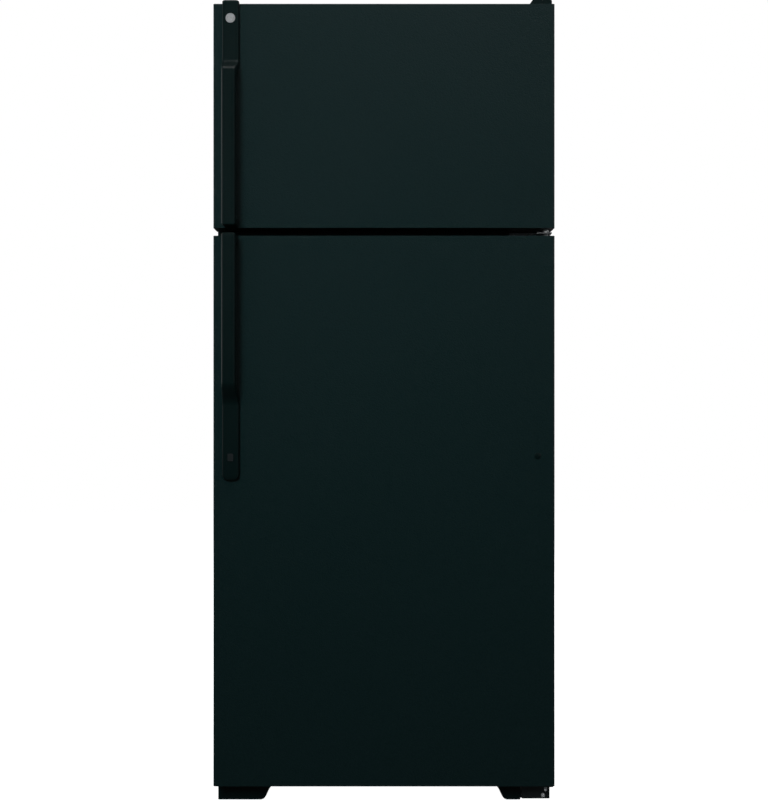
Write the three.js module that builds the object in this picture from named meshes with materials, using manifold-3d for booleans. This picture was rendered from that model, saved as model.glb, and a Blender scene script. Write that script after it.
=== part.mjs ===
// A top freezer refrigerator, 28 in wide, black, with its doors hinged on the right.
// Millimetres. +X is to the right, the doors face -Y and +Z is up. The origin is on the floor,
// under the middle of the whole machine.
import * as THREE from "three";
import { mergeVertices } from "three/addons/utils/BufferGeometryUtils.js";
import Module from "manifold-3d";

// ---------------------------------------------------------------------------------------------
// Driving dimensions
// ---------------------------------------------------------------------------------------------

// Cabinet
const cabinetWidth = 711.2;
const caseDepth = 670;
const caseBottom = 30; // floor to the lower edge of the side panels
const caseTopDrop = 1; // the roof sits this much below the top edge of the freezer door
const sideWall = 45; // insulated wall at the sides and the back
const roofWall = 50;
const dividerWall = 64; // between the two compartments
const floorWall = 42; // insulated floor of the fresh food compartment
const floorUnderside = 70; // floor to the underside of that insulation
const sheet = 1; // steel sheet
const linerWall = 2.5;
const clearance = 0.3; // between pieces that touch

// Doors
const freshDoorHeight = 1146.4;
const freezerDoorHeight = 466.4;
const doorGap = 16.2;
const doorBottom = 52;
const doorThickness = 60;
const doorEdgeRadius = 4;
const gasketThickness = 10;
const gasketWidth = 18;
const gasketInset = 3; // from the upper and lower edges of the door
const gasketSideInset = 17.6; // from the sides of the door
const gasketCorner = 8;
const skinReturn = 14; // fold of the door skin behind the door
const endCapThickness = 3;
const dykeDepth = 45; // the raised frame inside a door
const dykeWidth = 50;
const dykeClearance = 14; // from the dyke to the compartment walls
const dykeOuterRadius = 24;
const dykeInnerRadius = 10;

// Door hinges
const hingeInset = 15.6; // hinge axis from the right side of the doors
const hingeSetback = 28.2; // hinge axis behind the door faces
const hingePinRadius = 4.5;
const hingeBoreRadius = 5.2;
const hingePinDepth = 15; // how far a pin reaches into a door
const hingePlate = 3;
const hingeBossRadius = 9.5;
const hingeBossWall = 5; // of a boss, beyond the end of its pin
const hingePlateReach = 12; // of a plate, beyond the hinge axis
const topHingeInner = 32; // inner edge of the top hinge from the hinge axis
const topHingeLength = 88; // behind the front of the case
const hingeCoverHeight = 14; // above the top edge of the freezer door
const hingeCoverWall = 2;
const hingeCoverSlope = 9;
const hingeCoverChamfer = 5;
const centreFlangeInner = 72; // inner edge of its flange from the hinge axis

// Handles
const handleStandOff = 47.6;
const handleCentre = 37.6; // from the left side of the doors
const gripWidth = 28.6;
const gripThickness = 14;
const padWidth = 35.1;
const padThickness = 13;
const freezerGripLength = 316.4;
const freezerHandleBend = 31;
const freezerLipDepth = 20;
const freshGripLength = 306;
const freshHandleBend = 47;
const freshPadLength = 156;
const padEndRadius = 12;
const handleEdge = 4; // bevel at the free end of a grip
const padEdge = 3;
const handleTopLip = 4; // the freezer handle wraps over the top edge of its door
const badgeRadius = 10.7;
const badgeThickness = 1.6;
const badgeDrop = 34; // below the top edge of the freezer door
const badgeEdge = 1;

// Machine compartment, low at the back
const machineDepth = 200;
const machineTop = 290;

// Inside fittings
const shelfFrontGap = 40; // from the door bins to the shelves and drawers
const shelfThickness = 12;
const shelfGlass = 4;
const shelfRim = 14;
const shelfLedge = 6;
const shelfSideGap = 1;
const upperShelfDrop = 244.5; // from the ceiling of the compartment
const lowerShelfRise = 305; // above the crisper cover
const freezerShelfRise = 191.5; // above the floor of the compartment
const freezerShelfGap = 4; // from the evaporator cover
const shelfWire = 2.5; // radius
const shelfWireCount = 15;
const thinWire = 1.5; // radius
const evaporatorRoom = 62; // from the evaporator cover to the back of the freezer
const binDepth = 96;
const binWall = 3;
const binSideGap = 1;
const binRise = 6; // lowest bin above the lower side of the dyke
const binCorner = 18;
const freshBins = [
  { name: "door_bin_lower", wall: 105 },
  { name: "door_bin_middle", wall: 85 },
  { name: "door_bin_upper", wall: 85 },
];
const freezerBins = [
  { name: "freezer_bin_lower", wall: 75 },
  { name: "freezer_bin_upper", wall: 75 },
];
const dairyTall = 112;
const dairyWall = 3;
const dairyCoverRise = 8; // lower edge of the cover above the floor of the compartment
const dairyCoverRadius = 4;
const dairyPinRadius = 2.5;
const crisperHeight = 202;
const crisperWall = 3;
const crisperSideGap = 10;
const crisperMiddleGap = 8;
const crisperBackGap = 6;
const crisperRise = 4; // above the floor of the compartment
const crisperPull = 12;
const crisperPullTall = 26;

// Control housing, under the ceiling of the fresh food compartment
const housingSetback = 46; // from the inner side of the door
const housingDepth = 160;
const housingHalf = 220;
const housingTall = 50;
const housingWall = 2.5;
const housingChamfer = 8;
const controlX = 95;
const knobRadius = 17;
const knobDepth = 11;
const knobGrip = 4;
const spindleRadius = 3;
const lampSetback = 95; // lamp behind the front of the housing
const lampRise = 24; // lamp above the underside of the housing
const lampRadius = 15;
const lampBaseRadius = 10;
const lampLength = 86;
const lampStart = -86;
const lampSocketThickness = 14;
const lampWindowMargin = 25;
const switchX = 185;
const plungerRadius = 4;
const plungerGap = 0.5; // from the tip of the plunger to the closed door
const plungerInside = 20; // length of the plunger inside the housing

// Feet
const footInset = 55.6; // legs and rollers from the sides of the case
const legSetback = 28;
const legFootRadius = 16;
const legFootHeight = 8;
const legFootEdge = 2;
const legStudRadius = 5;
const legStudTop = 62;
const rollerRadius = 20;
const rollerWidth = 14;
const rollerEdge = 1.5;
const rollerFromRear = 60;
const axleRadius = 4;
const bearingGap = 0.5;

// ---------------------------------------------------------------------------------------------
// Places that follow from them
// ---------------------------------------------------------------------------------------------

const halfWidth = cabinetWidth / 2;
const rear = (caseDepth + gasketThickness + doorThickness + handleStandOff) / 2;
const caseFront = rear - caseDepth;
const doorBack = caseFront - gasketThickness;
const doorFront = doorBack - doorThickness;
const freshDoorTop = doorBottom + freshDoorHeight;
const freezerDoorBottom = freshDoorTop + doorGap;
const freezerDoorTop = freezerDoorBottom + freezerDoorHeight;
const caseTop = freezerDoorTop - caseTopDrop;
const caseBack = rear - sheet - clearance;
const hingeX = halfWidth - hingeInset;
const hingeY = doorFront + hingeSetback;
const footX = halfWidth - footInset;
const gasketHalfWidth = halfWidth - gasketSideInset;
const handleX = -halfWidth + handleCentre;

const roomHalf = halfWidth - sideWall;
const roomBack = rear - sideWall;
const freshFloor = floorUnderside + floorWall;
const freezerFloor = freshDoorTop + doorGap / 2 + dividerWall / 2;
const freshCeiling = freezerFloor - dividerWall;
const freezerCeiling = caseTop - roofWall;
const machineFront = rear - machineDepth;
const stepFront = machineFront - sideWall;
const stepTop = machineTop + sideWall;

const shelfFront = doorBack + binDepth + shelfFrontGap;
const upperShelfHeight = freshCeiling - upperShelfDrop;
const lowerShelfHeight = stepTop + lowerShelfRise;
const freezerShelfHeight = freezerFloor + freezerShelfRise;
const evaporatorCoverY = roomBack - evaporatorRoom;
const shelfHalf = roomHalf - shelfSideGap;
const dykeHalf = roomHalf - dykeClearance;
const binHalf = dykeHalf - dykeWidth - binSideGap;

// ---------------------------------------------------------------------------------------------
// Solids
// ---------------------------------------------------------------------------------------------

const wasm = await Module();
wasm.setup();

// Turns a closed three.js geometry into a solid that can be cut and joined.
function solidOf(geometry) {
  geometry.deleteAttribute("normal");
  geometry.deleteAttribute("uv");
  const merged = mergeVertices(geometry, 1e-4);
  return new wasm.Manifold(
    new wasm.Mesh({
      numProp: 3,
      vertProperties: new Float32Array(merged.attributes.position.array),
      triVerts: new Uint32Array(merged.index.array),
    }),
  );
}

function geometryOf(solid) {
  const mesh = solid.getMesh();
  const geometry = new THREE.BufferGeometry();
  geometry.setAttribute("position", new THREE.BufferAttribute(mesh.vertProperties, 3));
  geometry.setIndex(new THREE.BufferAttribute(mesh.triVerts, 1));
  const faceted = geometry.toNonIndexed();
  faceted.computeVertexNormals();
  return faceted;
}

const join = (solids) => solids.reduce((whole, piece) => whole.add(piece));
const cut = (solid, holes) => holes.reduce((rest, hole) => rest.subtract(hole), solid);
const spread = (middle, half) => [middle - half, middle + half];
const evenly = (count, low, high) =>
  Array.from({ length: count }, (_, i) => low + ((high - low) * i) / (count - 1));

// A block between two planes along each axis.
function block([x0, x1], [y0, y1], [z0, z1]) {
  const geometry = new THREE.BoxGeometry(x1 - x0, y1 - y0, z1 - z0);
  geometry.translate((x0 + x1) / 2, (y0 + y1) / 2, (z0 + z1) / 2);
  return solidOf(geometry);
}

// Turns a shape drawn in the XY plane and made along Z so that it runs along another axis:
// "x" reads the drawing as (y, z), "y" reads it as (x, z) and "z" as (x, y).
function layAlong(axis, geometry, end) {
  const turn = new THREE.Matrix4();
  const x = new THREE.Vector3(1, 0, 0);
  const y = new THREE.Vector3(0, 1, 0);
  const z = new THREE.Vector3(0, 0, 1);
  if (axis === "x") turn.makeBasis(y, z, x);
  if (axis === "y") turn.makeBasis(x, z, y.clone().negate()).setPosition(0, end, 0);
  return solidOf(geometry.applyMatrix4(turn));
}

// A prism with the given outline between two planes of an axis.
function prism(axis, shape, [low, high], curveSegments = 3) {
  const geometry = new THREE.ExtrudeGeometry(shape, {
    depth: high - low,
    bevelEnabled: false,
    curveSegments,
  });
  if (axis !== "y") geometry.translate(0, 0, low);
  return layAlong(axis, geometry, high);
}

const polygon = (points) => new THREE.Shape(points.map(([a, b]) => new THREE.Vector2(a, b)));

// A rectangle with rounded corners. The radii are those of the corners at the low second
// coordinate and at the high one.
function roundedRectangle([a0, a1], [b0, b1], lowRadius, highRadius = lowRadius) {
  const shape = new THREE.Shape();
  const quarter = Math.PI / 2;
  shape.moveTo(a0 + lowRadius, b0);
  shape.lineTo(a1 - lowRadius, b0);
  if (lowRadius > 0) shape.absarc(a1 - lowRadius, b0 + lowRadius, lowRadius, -quarter, 0);
  shape.lineTo(a1, b1 - highRadius);
  if (highRadius > 0) shape.absarc(a1 - highRadius, b1 - highRadius, highRadius, 0, quarter);
  shape.lineTo(a0 + highRadius, b1);
  if (highRadius > 0) {
    shape.absarc(a0 + highRadius, b1 - highRadius, highRadius, quarter, 2 * quarter);
  }
  shape.lineTo(a0, b0 + lowRadius);
  if (lowRadius > 0) {
    shape.absarc(a0 + lowRadius, b0 + lowRadius, lowRadius, 2 * quarter, 3 * quarter);
  }
  return shape;
}

// A round bar along an axis, through the point given by its other two coordinates.
function rod(axis, [a, b], radius, [low, high], sides = 16) {
  const geometry = new THREE.CylinderGeometry(radius, radius, high - low, sides);
  geometry.rotateX(Math.PI / 2);
  geometry.translate(a, b, (low + high) / 2);
  if (axis === "y") geometry.translate(0, 0, -(low + high) / 2 + (high - low) / 2);
  return layAlong(axis, geometry, high);
}

// A turned piece. The profile is a list of [radius, height], starting and ending on the axis,
// from the lowest height to the highest.
function turned(axis, [a, b], profile, sides = 20) {
  const points = profile.map(([radius, height]) => new THREE.Vector2(radius, height));
  const geometry = new THREE.LatheGeometry(points, sides);
  geometry.rotateX(Math.PI / 2);
  geometry.translate(a, b, 0);
  if (axis === "x") return layAlong("x", geometry, 0);
  if (axis === "z") return layAlong("z", geometry, 0);
  geometry.applyMatrix4(new THREE.Matrix4().makeScale(1, 1, -1));
  return layAlong("y", flipped(geometry), 0);
}

// Reverses the order of each triangle's corners, after a mirroring.
function flipped(geometry) {
  const order = geometry.index.array;
  for (let i = 0; i < order.length; i += 3) {
    [order[i + 1], order[i + 2]] = [order[i + 2], order[i + 1]];
  }
  return geometry;
}

// ---------------------------------------------------------------------------------------------
// Materials and nodes
// ---------------------------------------------------------------------------------------------

const finishes = {
  blackSteel: { color: 0x141c1e, roughness: 0.45, metalness: 0.2 },
  zincSteel: { color: 0x9a9d9f, roughness: 0.5, metalness: 0.8 },
  blackPlastic: { color: 0x0c0f10, roughness: 0.4, metalness: 0 },
  greyPlastic: { color: 0x2b3133, roughness: 0.5, metalness: 0 },
  whitePlastic: { color: 0xe9ebea, roughness: 0.35, metalness: 0 },
  clearPlastic: { color: 0xcfe0e4, roughness: 0.15, metalness: 0 },
  glass: { color: 0xcfe6e2, roughness: 0.05, metalness: 0 },
  vinyl: { color: 0x121415, roughness: 0.6, metalness: 0 },
  foam: { color: 0xe8d9a8, roughness: 0.95, metalness: 0 },
  badge: { color: 0xc4c8ca, roughness: 0.25, metalness: 0.9 },
  aluminium: { color: 0xb9bdc0, roughness: 0.45, metalness: 0.9 },
  board: { color: 0x3a3b3a, roughness: 0.9, metalness: 0 },
};

function place(parent, name, finish, solid) {
  const mesh = new THREE.Mesh(geometryOf(solid), new THREE.MeshStandardMaterial(finishes[finish]));
  mesh.name = name;
  parent.add(mesh);
}

const refrigerator = new THREE.Group();
const cabinet = new THREE.Group();
refrigerator.add(cabinet);

// ---------------------------------------------------------------------------------------------
// Cabinet: steel case, foam and liners
// ---------------------------------------------------------------------------------------------

const flangeHalf = roomHalf + linerWall + clearance; // inner edge of the case's front flange
const flangeTop = freezerCeiling + linerWall + clearance;
const rearFold = 18;

function outerCase() {
  const folded = block([-halfWidth, halfWidth], [caseFront, caseBack], [caseBottom, caseTop]);
  const inside = block(
    spread(0, halfWidth - sheet),
    [caseFront + sheet, caseBack - sheet],
    [caseBottom - 1, caseTop - sheet],
  );
  const frontOpening = block(
    spread(0, flangeHalf),
    [caseFront - 1, caseFront + sheet + 1],
    [caseBottom - 1, flangeTop],
  );
  const rearOpening = block(
    spread(0, halfWidth - rearFold),
    [caseBack - sheet - 1, caseBack + 1],
    [caseBottom - 1, caseTop - rearFold],
  );
  return cut(folded, [inside, frontOpening, rearOpening]);
}

// A compartment's room, grown by an offset on every side but the front. A step makes room for
// the machine compartment below and behind it.
function room(floor, ceiling, offset, front, step) {
  const half = roomHalf + offset;
  const back = roomBack + offset;
  const low = floor - offset;
  const outline = [
    [front, low],
    ...(step
      ? [
          [step.front + offset, low],
          [step.front + offset, step.top - offset],
          [back, step.top - offset],
        ]
      : [[back, low]]),
    [back, ceiling + offset],
    [front, ceiling + offset],
  ];
  return prism("x", polygon(outline), [-half, half]);
}

const machineStep = { front: stepFront, top: stepTop };

// Two ledges that carry a shelf whose underside is at the given height.
function ledges(height, front, back) {
  const low = height - clearance - shelfLedge;
  return [-1, 1].map((side) =>
    block(
      side < 0 ? [-roomHalf - 1, -roomHalf + shelfLedge] : [roomHalf - shelfLedge, roomHalf + 1],
      [front, back],
      [low, low + shelfLedge],
    ),
  );
}

function liner(floor, ceiling, step, shelves) {
  const shell = room(floor, ceiling, linerWall, caseFront, step).subtract(
    room(floor, ceiling, 0, caseFront - 1, step),
  );
  return join([shell, ...shelves.flatMap(([height, back]) => ledges(height, shelfFront, back))]);
}

function cabinetFoam() {
  const whole = block(
    spread(0, halfWidth - sheet - clearance),
    [caseFront + sheet + clearance, caseBack - sheet - clearance],
    [floorUnderside, caseTop - sheet - clearance],
  );
  const offset = linerWall + clearance;
  const machineRoom = block(
    spread(0, halfWidth),
    [machineFront - sheet - clearance, rear],
    [floorUnderside - 1, machineTop + sheet + clearance],
  );
  return cut(whole, [
    room(freshFloor, freshCeiling, offset, caseFront, machineStep),
    room(freezerFloor, freezerCeiling, offset, caseFront),
    machineRoom,
  ]);
}

// The panel at the back, above the machine compartment.
const rearCoverTop = machineTop + 12;
const rearPanelInset = 4;

function backPanel() {
  return block(
    spread(0, halfWidth - rearPanelInset),
    [rear - sheet, rear],
    [rearCoverTop + clearance, caseTop - rearPanelInset],
  );
}

function mullionRail() {
  return block(
    spread(0, flangeHalf - clearance),
    [caseFront, caseFront + sheet],
    [freshCeiling + linerWall + clearance, freezerFloor - linerWall - clearance],
  );
}

place(cabinet, "outer_case", "blackSteel", outerCase());
place(cabinet, "back_panel", "zincSteel", backPanel());
place(cabinet, "cabinet_foam", "foam", cabinetFoam());
place(
  cabinet,
  "freezer_liner",
  "whitePlastic",
  liner(freezerFloor, freezerCeiling, undefined, [
    [freezerShelfHeight, evaporatorCoverY - clearance],
  ]),
);
place(
  cabinet,
  "fresh_food_liner",
  "whitePlastic",
  liner(freshFloor, freshCeiling, machineStep, [
    [upperShelfHeight, roomBack + 1],
    [lowerShelfHeight, roomBack + 1],
    [stepTop, stepFront + 1],
  ]),
);
place(cabinet, "mullion_rail", "blackSteel", mullionRail());

// ---------------------------------------------------------------------------------------------
// Base: frame, grille, legs, rollers and the tray of the machine compartment
// ---------------------------------------------------------------------------------------------

const baseLow = 34;
const baseHalf = halfWidth - sheet - clearance;
const railInset = 17.6;
const railX = halfWidth - railInset;
const railThickness = 2;
const legShelfDepth = 60;
const legY = caseFront + legSetback;
const trayTop = baseLow + railThickness;

function baseFrame() {
  const sheetTop = floorUnderside - clearance;
  const frontPlate = block(
    spread(0, flangeHalf - clearance),
    [caseFront, caseFront + sheet],
    [baseLow, freshFloor - linerWall - clearance],
  );
  const underside = block(
    spread(0, baseHalf),
    [caseFront + sheet + clearance, machineFront],
    [sheetTop - sheet, sheetTop],
  );
  const undersideFront = block(
    spread(0, flangeHalf - clearance),
    [caseFront, caseFront + sheet + 1],
    [sheetTop - sheet, sheetTop],
  );
  const machineWall = block(
    spread(0, baseHalf),
    [machineFront - sheet, machineFront],
    [sheetTop - sheet, machineTop + sheet],
  );
  const machineRoof = block(
    spread(0, baseHalf),
    [machineFront - sheet, caseBack - sheet - clearance],
    [machineTop, machineTop + sheet],
  );
  const legShelf = block(
    spread(0, flangeHalf - clearance),
    [caseFront, caseFront + legShelfDepth],
    [baseLow, baseLow + railThickness],
  );
  const rails = [-1, 1].map((side) =>
    block(
      spread(side * railX, railThickness / 2),
      [caseFront + sheet + clearance, caseBack - sheet - clearance],
      [baseLow, sheetTop],
    ),
  );
  const railTies = [-1, 1].map((side) =>
    block(
      side < 0 ? [-railX, -flangeHalf + 1] : [flangeHalf - 1, railX],
      [caseFront + sheet + clearance, caseFront + legShelfDepth],
      [baseLow, baseLow + railThickness],
    ),
  );
  const studHoles = [-1, 1].map((side) =>
    rod("z", [side * footX, legY], legStudRadius + bearingGap, [baseLow - 1, trayTop + 1]),
  );
  const frame = join([
    frontPlate,
    underside,
    undersideFront,
    machineWall,
    machineRoof,
    legShelf,
    ...rails,
    ...railTies,
  ]);
  return cut(frame, studHoles);
}

// The grille under the fresh food door: a foot at each side and an arch between them.
const grilleDepth = 7;
const grilleFront = caseFront - grilleDepth;
const grilleBack = caseFront - clearance;
const grilleBottom = 3;
const grilleTop = doorBottom - 2;
const grilleWall = 2.5;
const grilleSideGap = 1.5;
const grilleLeft = -halfWidth + grilleSideGap;
const grilleRight = halfWidth - 64.6; // clear of the bottom hinge
const grilleFootInner = halfWidth - 93.6;
const grilleArchSide = grilleFootInner - 27;
const grilleArchHeight = 34;
const grilleSlots = 16;
const grilleSlotHeight = 3;
const grilleSlotWidth = 20;
const grilleSlotMargin = 15;

function baseGrille() {
  const outline = new THREE.Shape();
  outline.moveTo(grilleLeft, grilleBottom);
  outline.lineTo(-grilleFootInner, grilleBottom);
  const middle = -(grilleFootInner + grilleArchSide) / 2;
  outline.bezierCurveTo(
    middle,
    grilleBottom,
    middle,
    grilleArchHeight,
    -grilleArchSide,
    grilleArchHeight,
  );
  outline.lineTo(grilleArchSide, grilleArchHeight);
  outline.bezierCurveTo(
    -middle,
    grilleArchHeight,
    -middle,
    grilleBottom,
    grilleFootInner,
    grilleBottom,
  );
  outline.lineTo(grilleRight, grilleBottom);
  outline.lineTo(grilleRight, grilleTop);
  outline.lineTo(grilleLeft, grilleTop);
  const whole = prism("y", outline, [grilleFront, grilleBack], 6);
  const hollow = block(
    [grilleLeft + grilleWall, grilleRight - grilleWall],
    [grilleFront + grilleWall, grilleBack + 1],
    [grilleBottom - 1, grilleTop - grilleWall],
  );
  const slotReach = grilleArchSide - grilleSlotMargin;
  const slotMiddle = (grilleArchHeight + grilleTop - grilleWall) / 2;
  const slots = evenly(grilleSlots, -slotReach, slotReach).map((x) =>
    block(
      spread(x, grilleSlotWidth / 2),
      [grilleFront - 1, grilleBack + 1],
      spread(slotMiddle, grilleSlotHeight / 2),
    ),
  );
  return cut(whole, [hollow, ...slots]);
}

// A levelling leg: a round foot on a threaded stud.
function levellingLeg(side) {
  return turned("z", [side * footX, legY], [
    [0, 0],
    [legFootRadius, 0],
    [legFootRadius, legFootHeight - legFootEdge],
    [legFootRadius - legFootEdge, legFootHeight],
    [legStudRadius, legFootHeight],
    [legStudRadius, legStudTop],
    [0, legStudTop],
  ]);
}

const rollerY = rear - rollerFromRear;
const cheekThickness = 2;
const cheekGap = 1.5;
const cheekLow = 12;
const cheekHalfLength = 16;
const rollerWellGap = 3;

function machineTray() {
  const plate = block(
    spread(0, railX - railThickness / 2 - clearance),
    [machineFront + clearance, caseBack - sheet - clearance],
    [baseLow, trayTop],
  );
  const cheekX = rollerWidth / 2 + cheekGap;
  const wells = [-1, 1].map((side) =>
    block(
      spread(side * footX, cheekX),
      spread(rollerY, rollerRadius + rollerWellGap),
      [baseLow - 1, trayTop + 1],
    ),
  );
  const cheeks = [-1, 1].flatMap((side) =>
    [-1, 1].map((face) =>
      block(
        spread(side * footX + face * (cheekX + cheekThickness / 2), cheekThickness / 2),
        spread(rollerY, cheekHalfLength),
        [cheekLow, baseLow + 1],
      ),
    ),
  );
  const axles = [-1, 1].map((side) =>
    rod("x", [rollerY, rollerRadius], axleRadius, spread(side * footX, cheekX + 1)),
  );
  return join([cut(plate, wells), ...cheeks, ...axles]);
}

function roller(side) {
  const [left, right] = spread(side * footX, rollerWidth / 2);
  const tyre = turned(
    "x",
    [rollerY, rollerRadius],
    [
      [0, left],
      [rollerRadius - rollerEdge, left],
      [rollerRadius, left + rollerEdge],
      [rollerRadius, right - rollerEdge],
      [rollerRadius - rollerEdge, right],
      [0, right],
    ],
    28,
  );
  const bore = rod(
    "x",
    [rollerY, rollerRadius],
    axleRadius + bearingGap,
    spread(side * footX, rollerWidth),
  );
  return tyre.subtract(bore);
}

place(cabinet, "base_frame", "zincSteel", baseFrame());
place(cabinet, "base_grille", "blackPlastic", baseGrille());
place(cabinet, "machine_tray", "zincSteel", machineTray());
[
  ["left", -1],
  ["right", 1],
].forEach(([name, side]) => {
  place(cabinet, "leg_" + name, "greyPlastic", levellingLeg(side));
  place(cabinet, "rear_roller_" + name, "greyPlastic", roller(side));
});

// ---------------------------------------------------------------------------------------------
// Machine compartment: compressor, condenser, fan and cover
// ---------------------------------------------------------------------------------------------

const machineMiddleY = (machineFront + rear) / 2;
const compressorX = -halfWidth + 140.6;
const compressorRadius = 78;
const compressorRound = 28;
const compressorFootTall = 11;
const compressorFootRadius = 10;
const compressorFootInset = [20, 28]; // from the side of the shell, along x and along y
const compressorPlate = 3;
const compressorPlateReach = [90, 64]; // half its length and half its depth
const compressorBodyLow = trayTop + clearance + compressorFootTall + compressorPlate - 1;
const compressorBodyTall = 170;

function compressor() {
  const low = compressorBodyLow;
  const round = compressorRound;
  const shell = turned(
    "z",
    [compressorX, machineMiddleY],
    [
      [0, low],
      [compressorRadius - round, low],
      [compressorRadius - round / 4, low + round * 0.6],
      [compressorRadius, low + round * 1.6],
      [compressorRadius, low + compressorBodyTall - round * 1.8],
      [compressorRadius - round / 4, low + compressorBodyTall - round * 0.8],
      [compressorRadius - round, low + compressorBodyTall - round / 5],
      [0, low + compressorBodyTall],
    ],
    24,
  );
  const base = block(
    spread(compressorX, compressorPlateReach[0]),
    spread(machineMiddleY, compressorPlateReach[1]),
    [low - compressorPlate, low + 1],
  );
  const footReach = compressorFootInset.map((inset) => compressorRadius - inset);
  const feet = [-1, 1].flatMap((sideX) =>
    [-1, 1].map((sideY) =>
      rod(
        "z",
        [compressorX + sideX * footReach[0], machineMiddleY + sideY * footReach[1]],
        compressorFootRadius,
        [trayTop + clearance, low - compressorPlate + 1],
        12,
      ),
    ),
  );
  return join([shell, base, ...feet]);
}

// A fan: a hub with a bore for the motor shaft, and twisted blades.
const fanShaftRadius = 3;
const fanBladePitch = Math.PI / 6;
const fanBladeThickness = 2;
const fanBlades = 5;

function fan(axis, [a, b], middle, radius, hubRadius, depth) {
  const solids = Array.from({ length: fanBlades }, (_, i) => {
    const reach = radius - hubRadius / 2;
    const blade = new THREE.BoxGeometry(reach, depth * 0.9, fanBladeThickness);
    blade.rotateX(fanBladePitch + Math.PI / 2);
    blade.rotateX(Math.PI / 2);
    blade.translate(hubRadius / 2 + reach / 2, 0, 0);
    blade.rotateZ((i * 2 * Math.PI) / fanBlades);
    blade.translate(a, b, axis === "y" ? 0 : middle);
    return layAlong(axis, blade, middle);
  });
  const hub = rod(axis, [a, b], hubRadius, spread(middle, depth / 2), 20);
  const bore = rod(axis, [a, b], fanShaftRadius + bearingGap, spread(middle, depth), 12);
  return join([hub, ...solids]).subtract(bore);
}

const condenserFanX = compressorX + 115;
const condenserFanZ = 150;
const condenserFanRadius = 68;
const condenserFanDepth = 24;
const motorRadius = 24;
const motorLength = 40;
const motorGap = 3; // from a fan to its motor
const motorStandHalf = 14;
const motorStandThickness = 6;
const shroudThickness = 2;
const shroudGap = 8; // from the shroud to the fan
const shroudMargin = 8;
const shroudHoleGap = 6;

function condenserFanMotor() {
  const motorLow = condenserFanX + condenserFanDepth / 2 + motorGap;
  const shroudX = condenserFanX - condenserFanDepth / 2 - shroudGap;
  const standX = motorLow + motorLength / 2;
  const foot = trayTop + clearance;
  const shroudHole = rod(
    "x",
    [machineMiddleY, condenserFanZ],
    condenserFanRadius + shroudHoleGap,
    spread(shroudX, 2 * shroudThickness),
    24,
  );
  const shroud = block(
    [shroudX, shroudX + shroudThickness],
    [machineFront + shroudMargin, rear - shroudMargin],
    [foot, machineTop - shroudMargin],
  ).subtract(shroudHole);
  const base = block(
    [shroudX, standX + motorStandThickness],
    spread(machineMiddleY, motorStandHalf),
    [foot, foot + shroudThickness],
  );
  const stand = block(
    spread(standX, motorStandThickness / 2),
    spread(machineMiddleY, motorStandHalf),
    [foot, condenserFanZ],
  );
  const motor = rod(
    "x",
    [machineMiddleY, condenserFanZ],
    motorRadius,
    [motorLow, motorLow + motorLength],
  );
  const shaft = rod(
    "x",
    [machineMiddleY, condenserFanZ],
    fanShaftRadius,
    [condenserFanX - condenserFanDepth / 2, motorLow + 1],
    12,
  );
  return join([shroud, base, stand, motor, shaft]);
}

// The condenser: a tube bent to and fro in upright banks, held by two end plates.
const condenserLow = 62;
const condenserRows = 6;
const condenserPitch = 36;
const condenserTube = 4;
const condenserX = [0, halfWidth - 65.6];
const condenserBank = 45; // each bank from the middle of the compartment
const condenserPlateInset = 20;
const condenserPlateThickness = 2;
const condenserPlateMargin = 12;

function condenser() {
  const heights = Array.from({ length: condenserRows }, (_, i) => condenserLow + i * condenserPitch);
  const high = heights[condenserRows - 1];
  const tubes = spread(machineMiddleY, condenserBank).flatMap((y) =>
    heights.map((z) => rod("x", [y, z], condenserTube, condenserX, 6)),
  );
  const ends = [condenserX[0] + condenserPlateInset, condenserX[1] - condenserPlateInset];
  const plates = ends.map((x) =>
    block(
      spread(x, condenserPlateThickness / 2),
      spread(machineMiddleY, condenserBank + condenserPlateMargin),
      [trayTop + clearance, high + condenserPlateMargin],
    ),
  );
  return join([...tubes, ...plates]);
}

// The cover over the machine compartment, with its air slots and the recessed power inlet.
const inletX = -halfWidth + 65.6;
const inletZ = machineTop - 40;
const inletHalf = [16, 12];
const inletDepth = 22;
const inletWall = 3;
const airSlotRows = 8;
const airSlotHalf = 60;
const airSlotHeight = 6;
const airSlotZ = [baseLow + 46, machineTop - 70];
const airSlotX = [-halfWidth + 235.6, halfWidth - 155.6];

function rearCover() {
  const sheetCover = block(
    spread(0, halfWidth - rearPanelInset),
    [rear - sheet, rear],
    [baseLow, rearCoverTop],
  );
  const slotRows = evenly(airSlotRows, ...airSlotZ);
  const slots = evenly(3, ...airSlotX).flatMap((x) =>
    slotRows.map((z) =>
      block(spread(x, airSlotHalf), spread(rear, 2 * sheet), spread(z, airSlotHeight / 2)),
    ),
  );
  const housing = block(
    spread(inletX, inletHalf[0] + inletWall),
    [rear - inletDepth - inletWall, rear - sheet / 2],
    spread(inletZ, inletHalf[1] + inletWall),
  );
  const socket = block(
    spread(inletX, inletHalf[0]),
    [rear - inletDepth, rear + 1],
    spread(inletZ, inletHalf[1]),
  );
  return cut(sheetCover.add(housing), [...slots, socket]);
}

place(cabinet, "compressor", "blackSteel", compressor());
place(cabinet, "condenser_fan_motor", "zincSteel", condenserFanMotor());
place(
  cabinet,
  "condenser_fan",
  "greyPlastic",
  fan(
    "x",
    [machineMiddleY, condenserFanZ],
    condenserFanX,
    condenserFanRadius,
    motorRadius - 4,
    condenserFanDepth,
  ),
);
place(cabinet, "condenser", "blackSteel", condenser());
place(cabinet, "rear_cover", "board", rearCover());

// ---------------------------------------------------------------------------------------------
// Freezer compartment: evaporator, its cover, fan and shelf
// ---------------------------------------------------------------------------------------------

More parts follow.
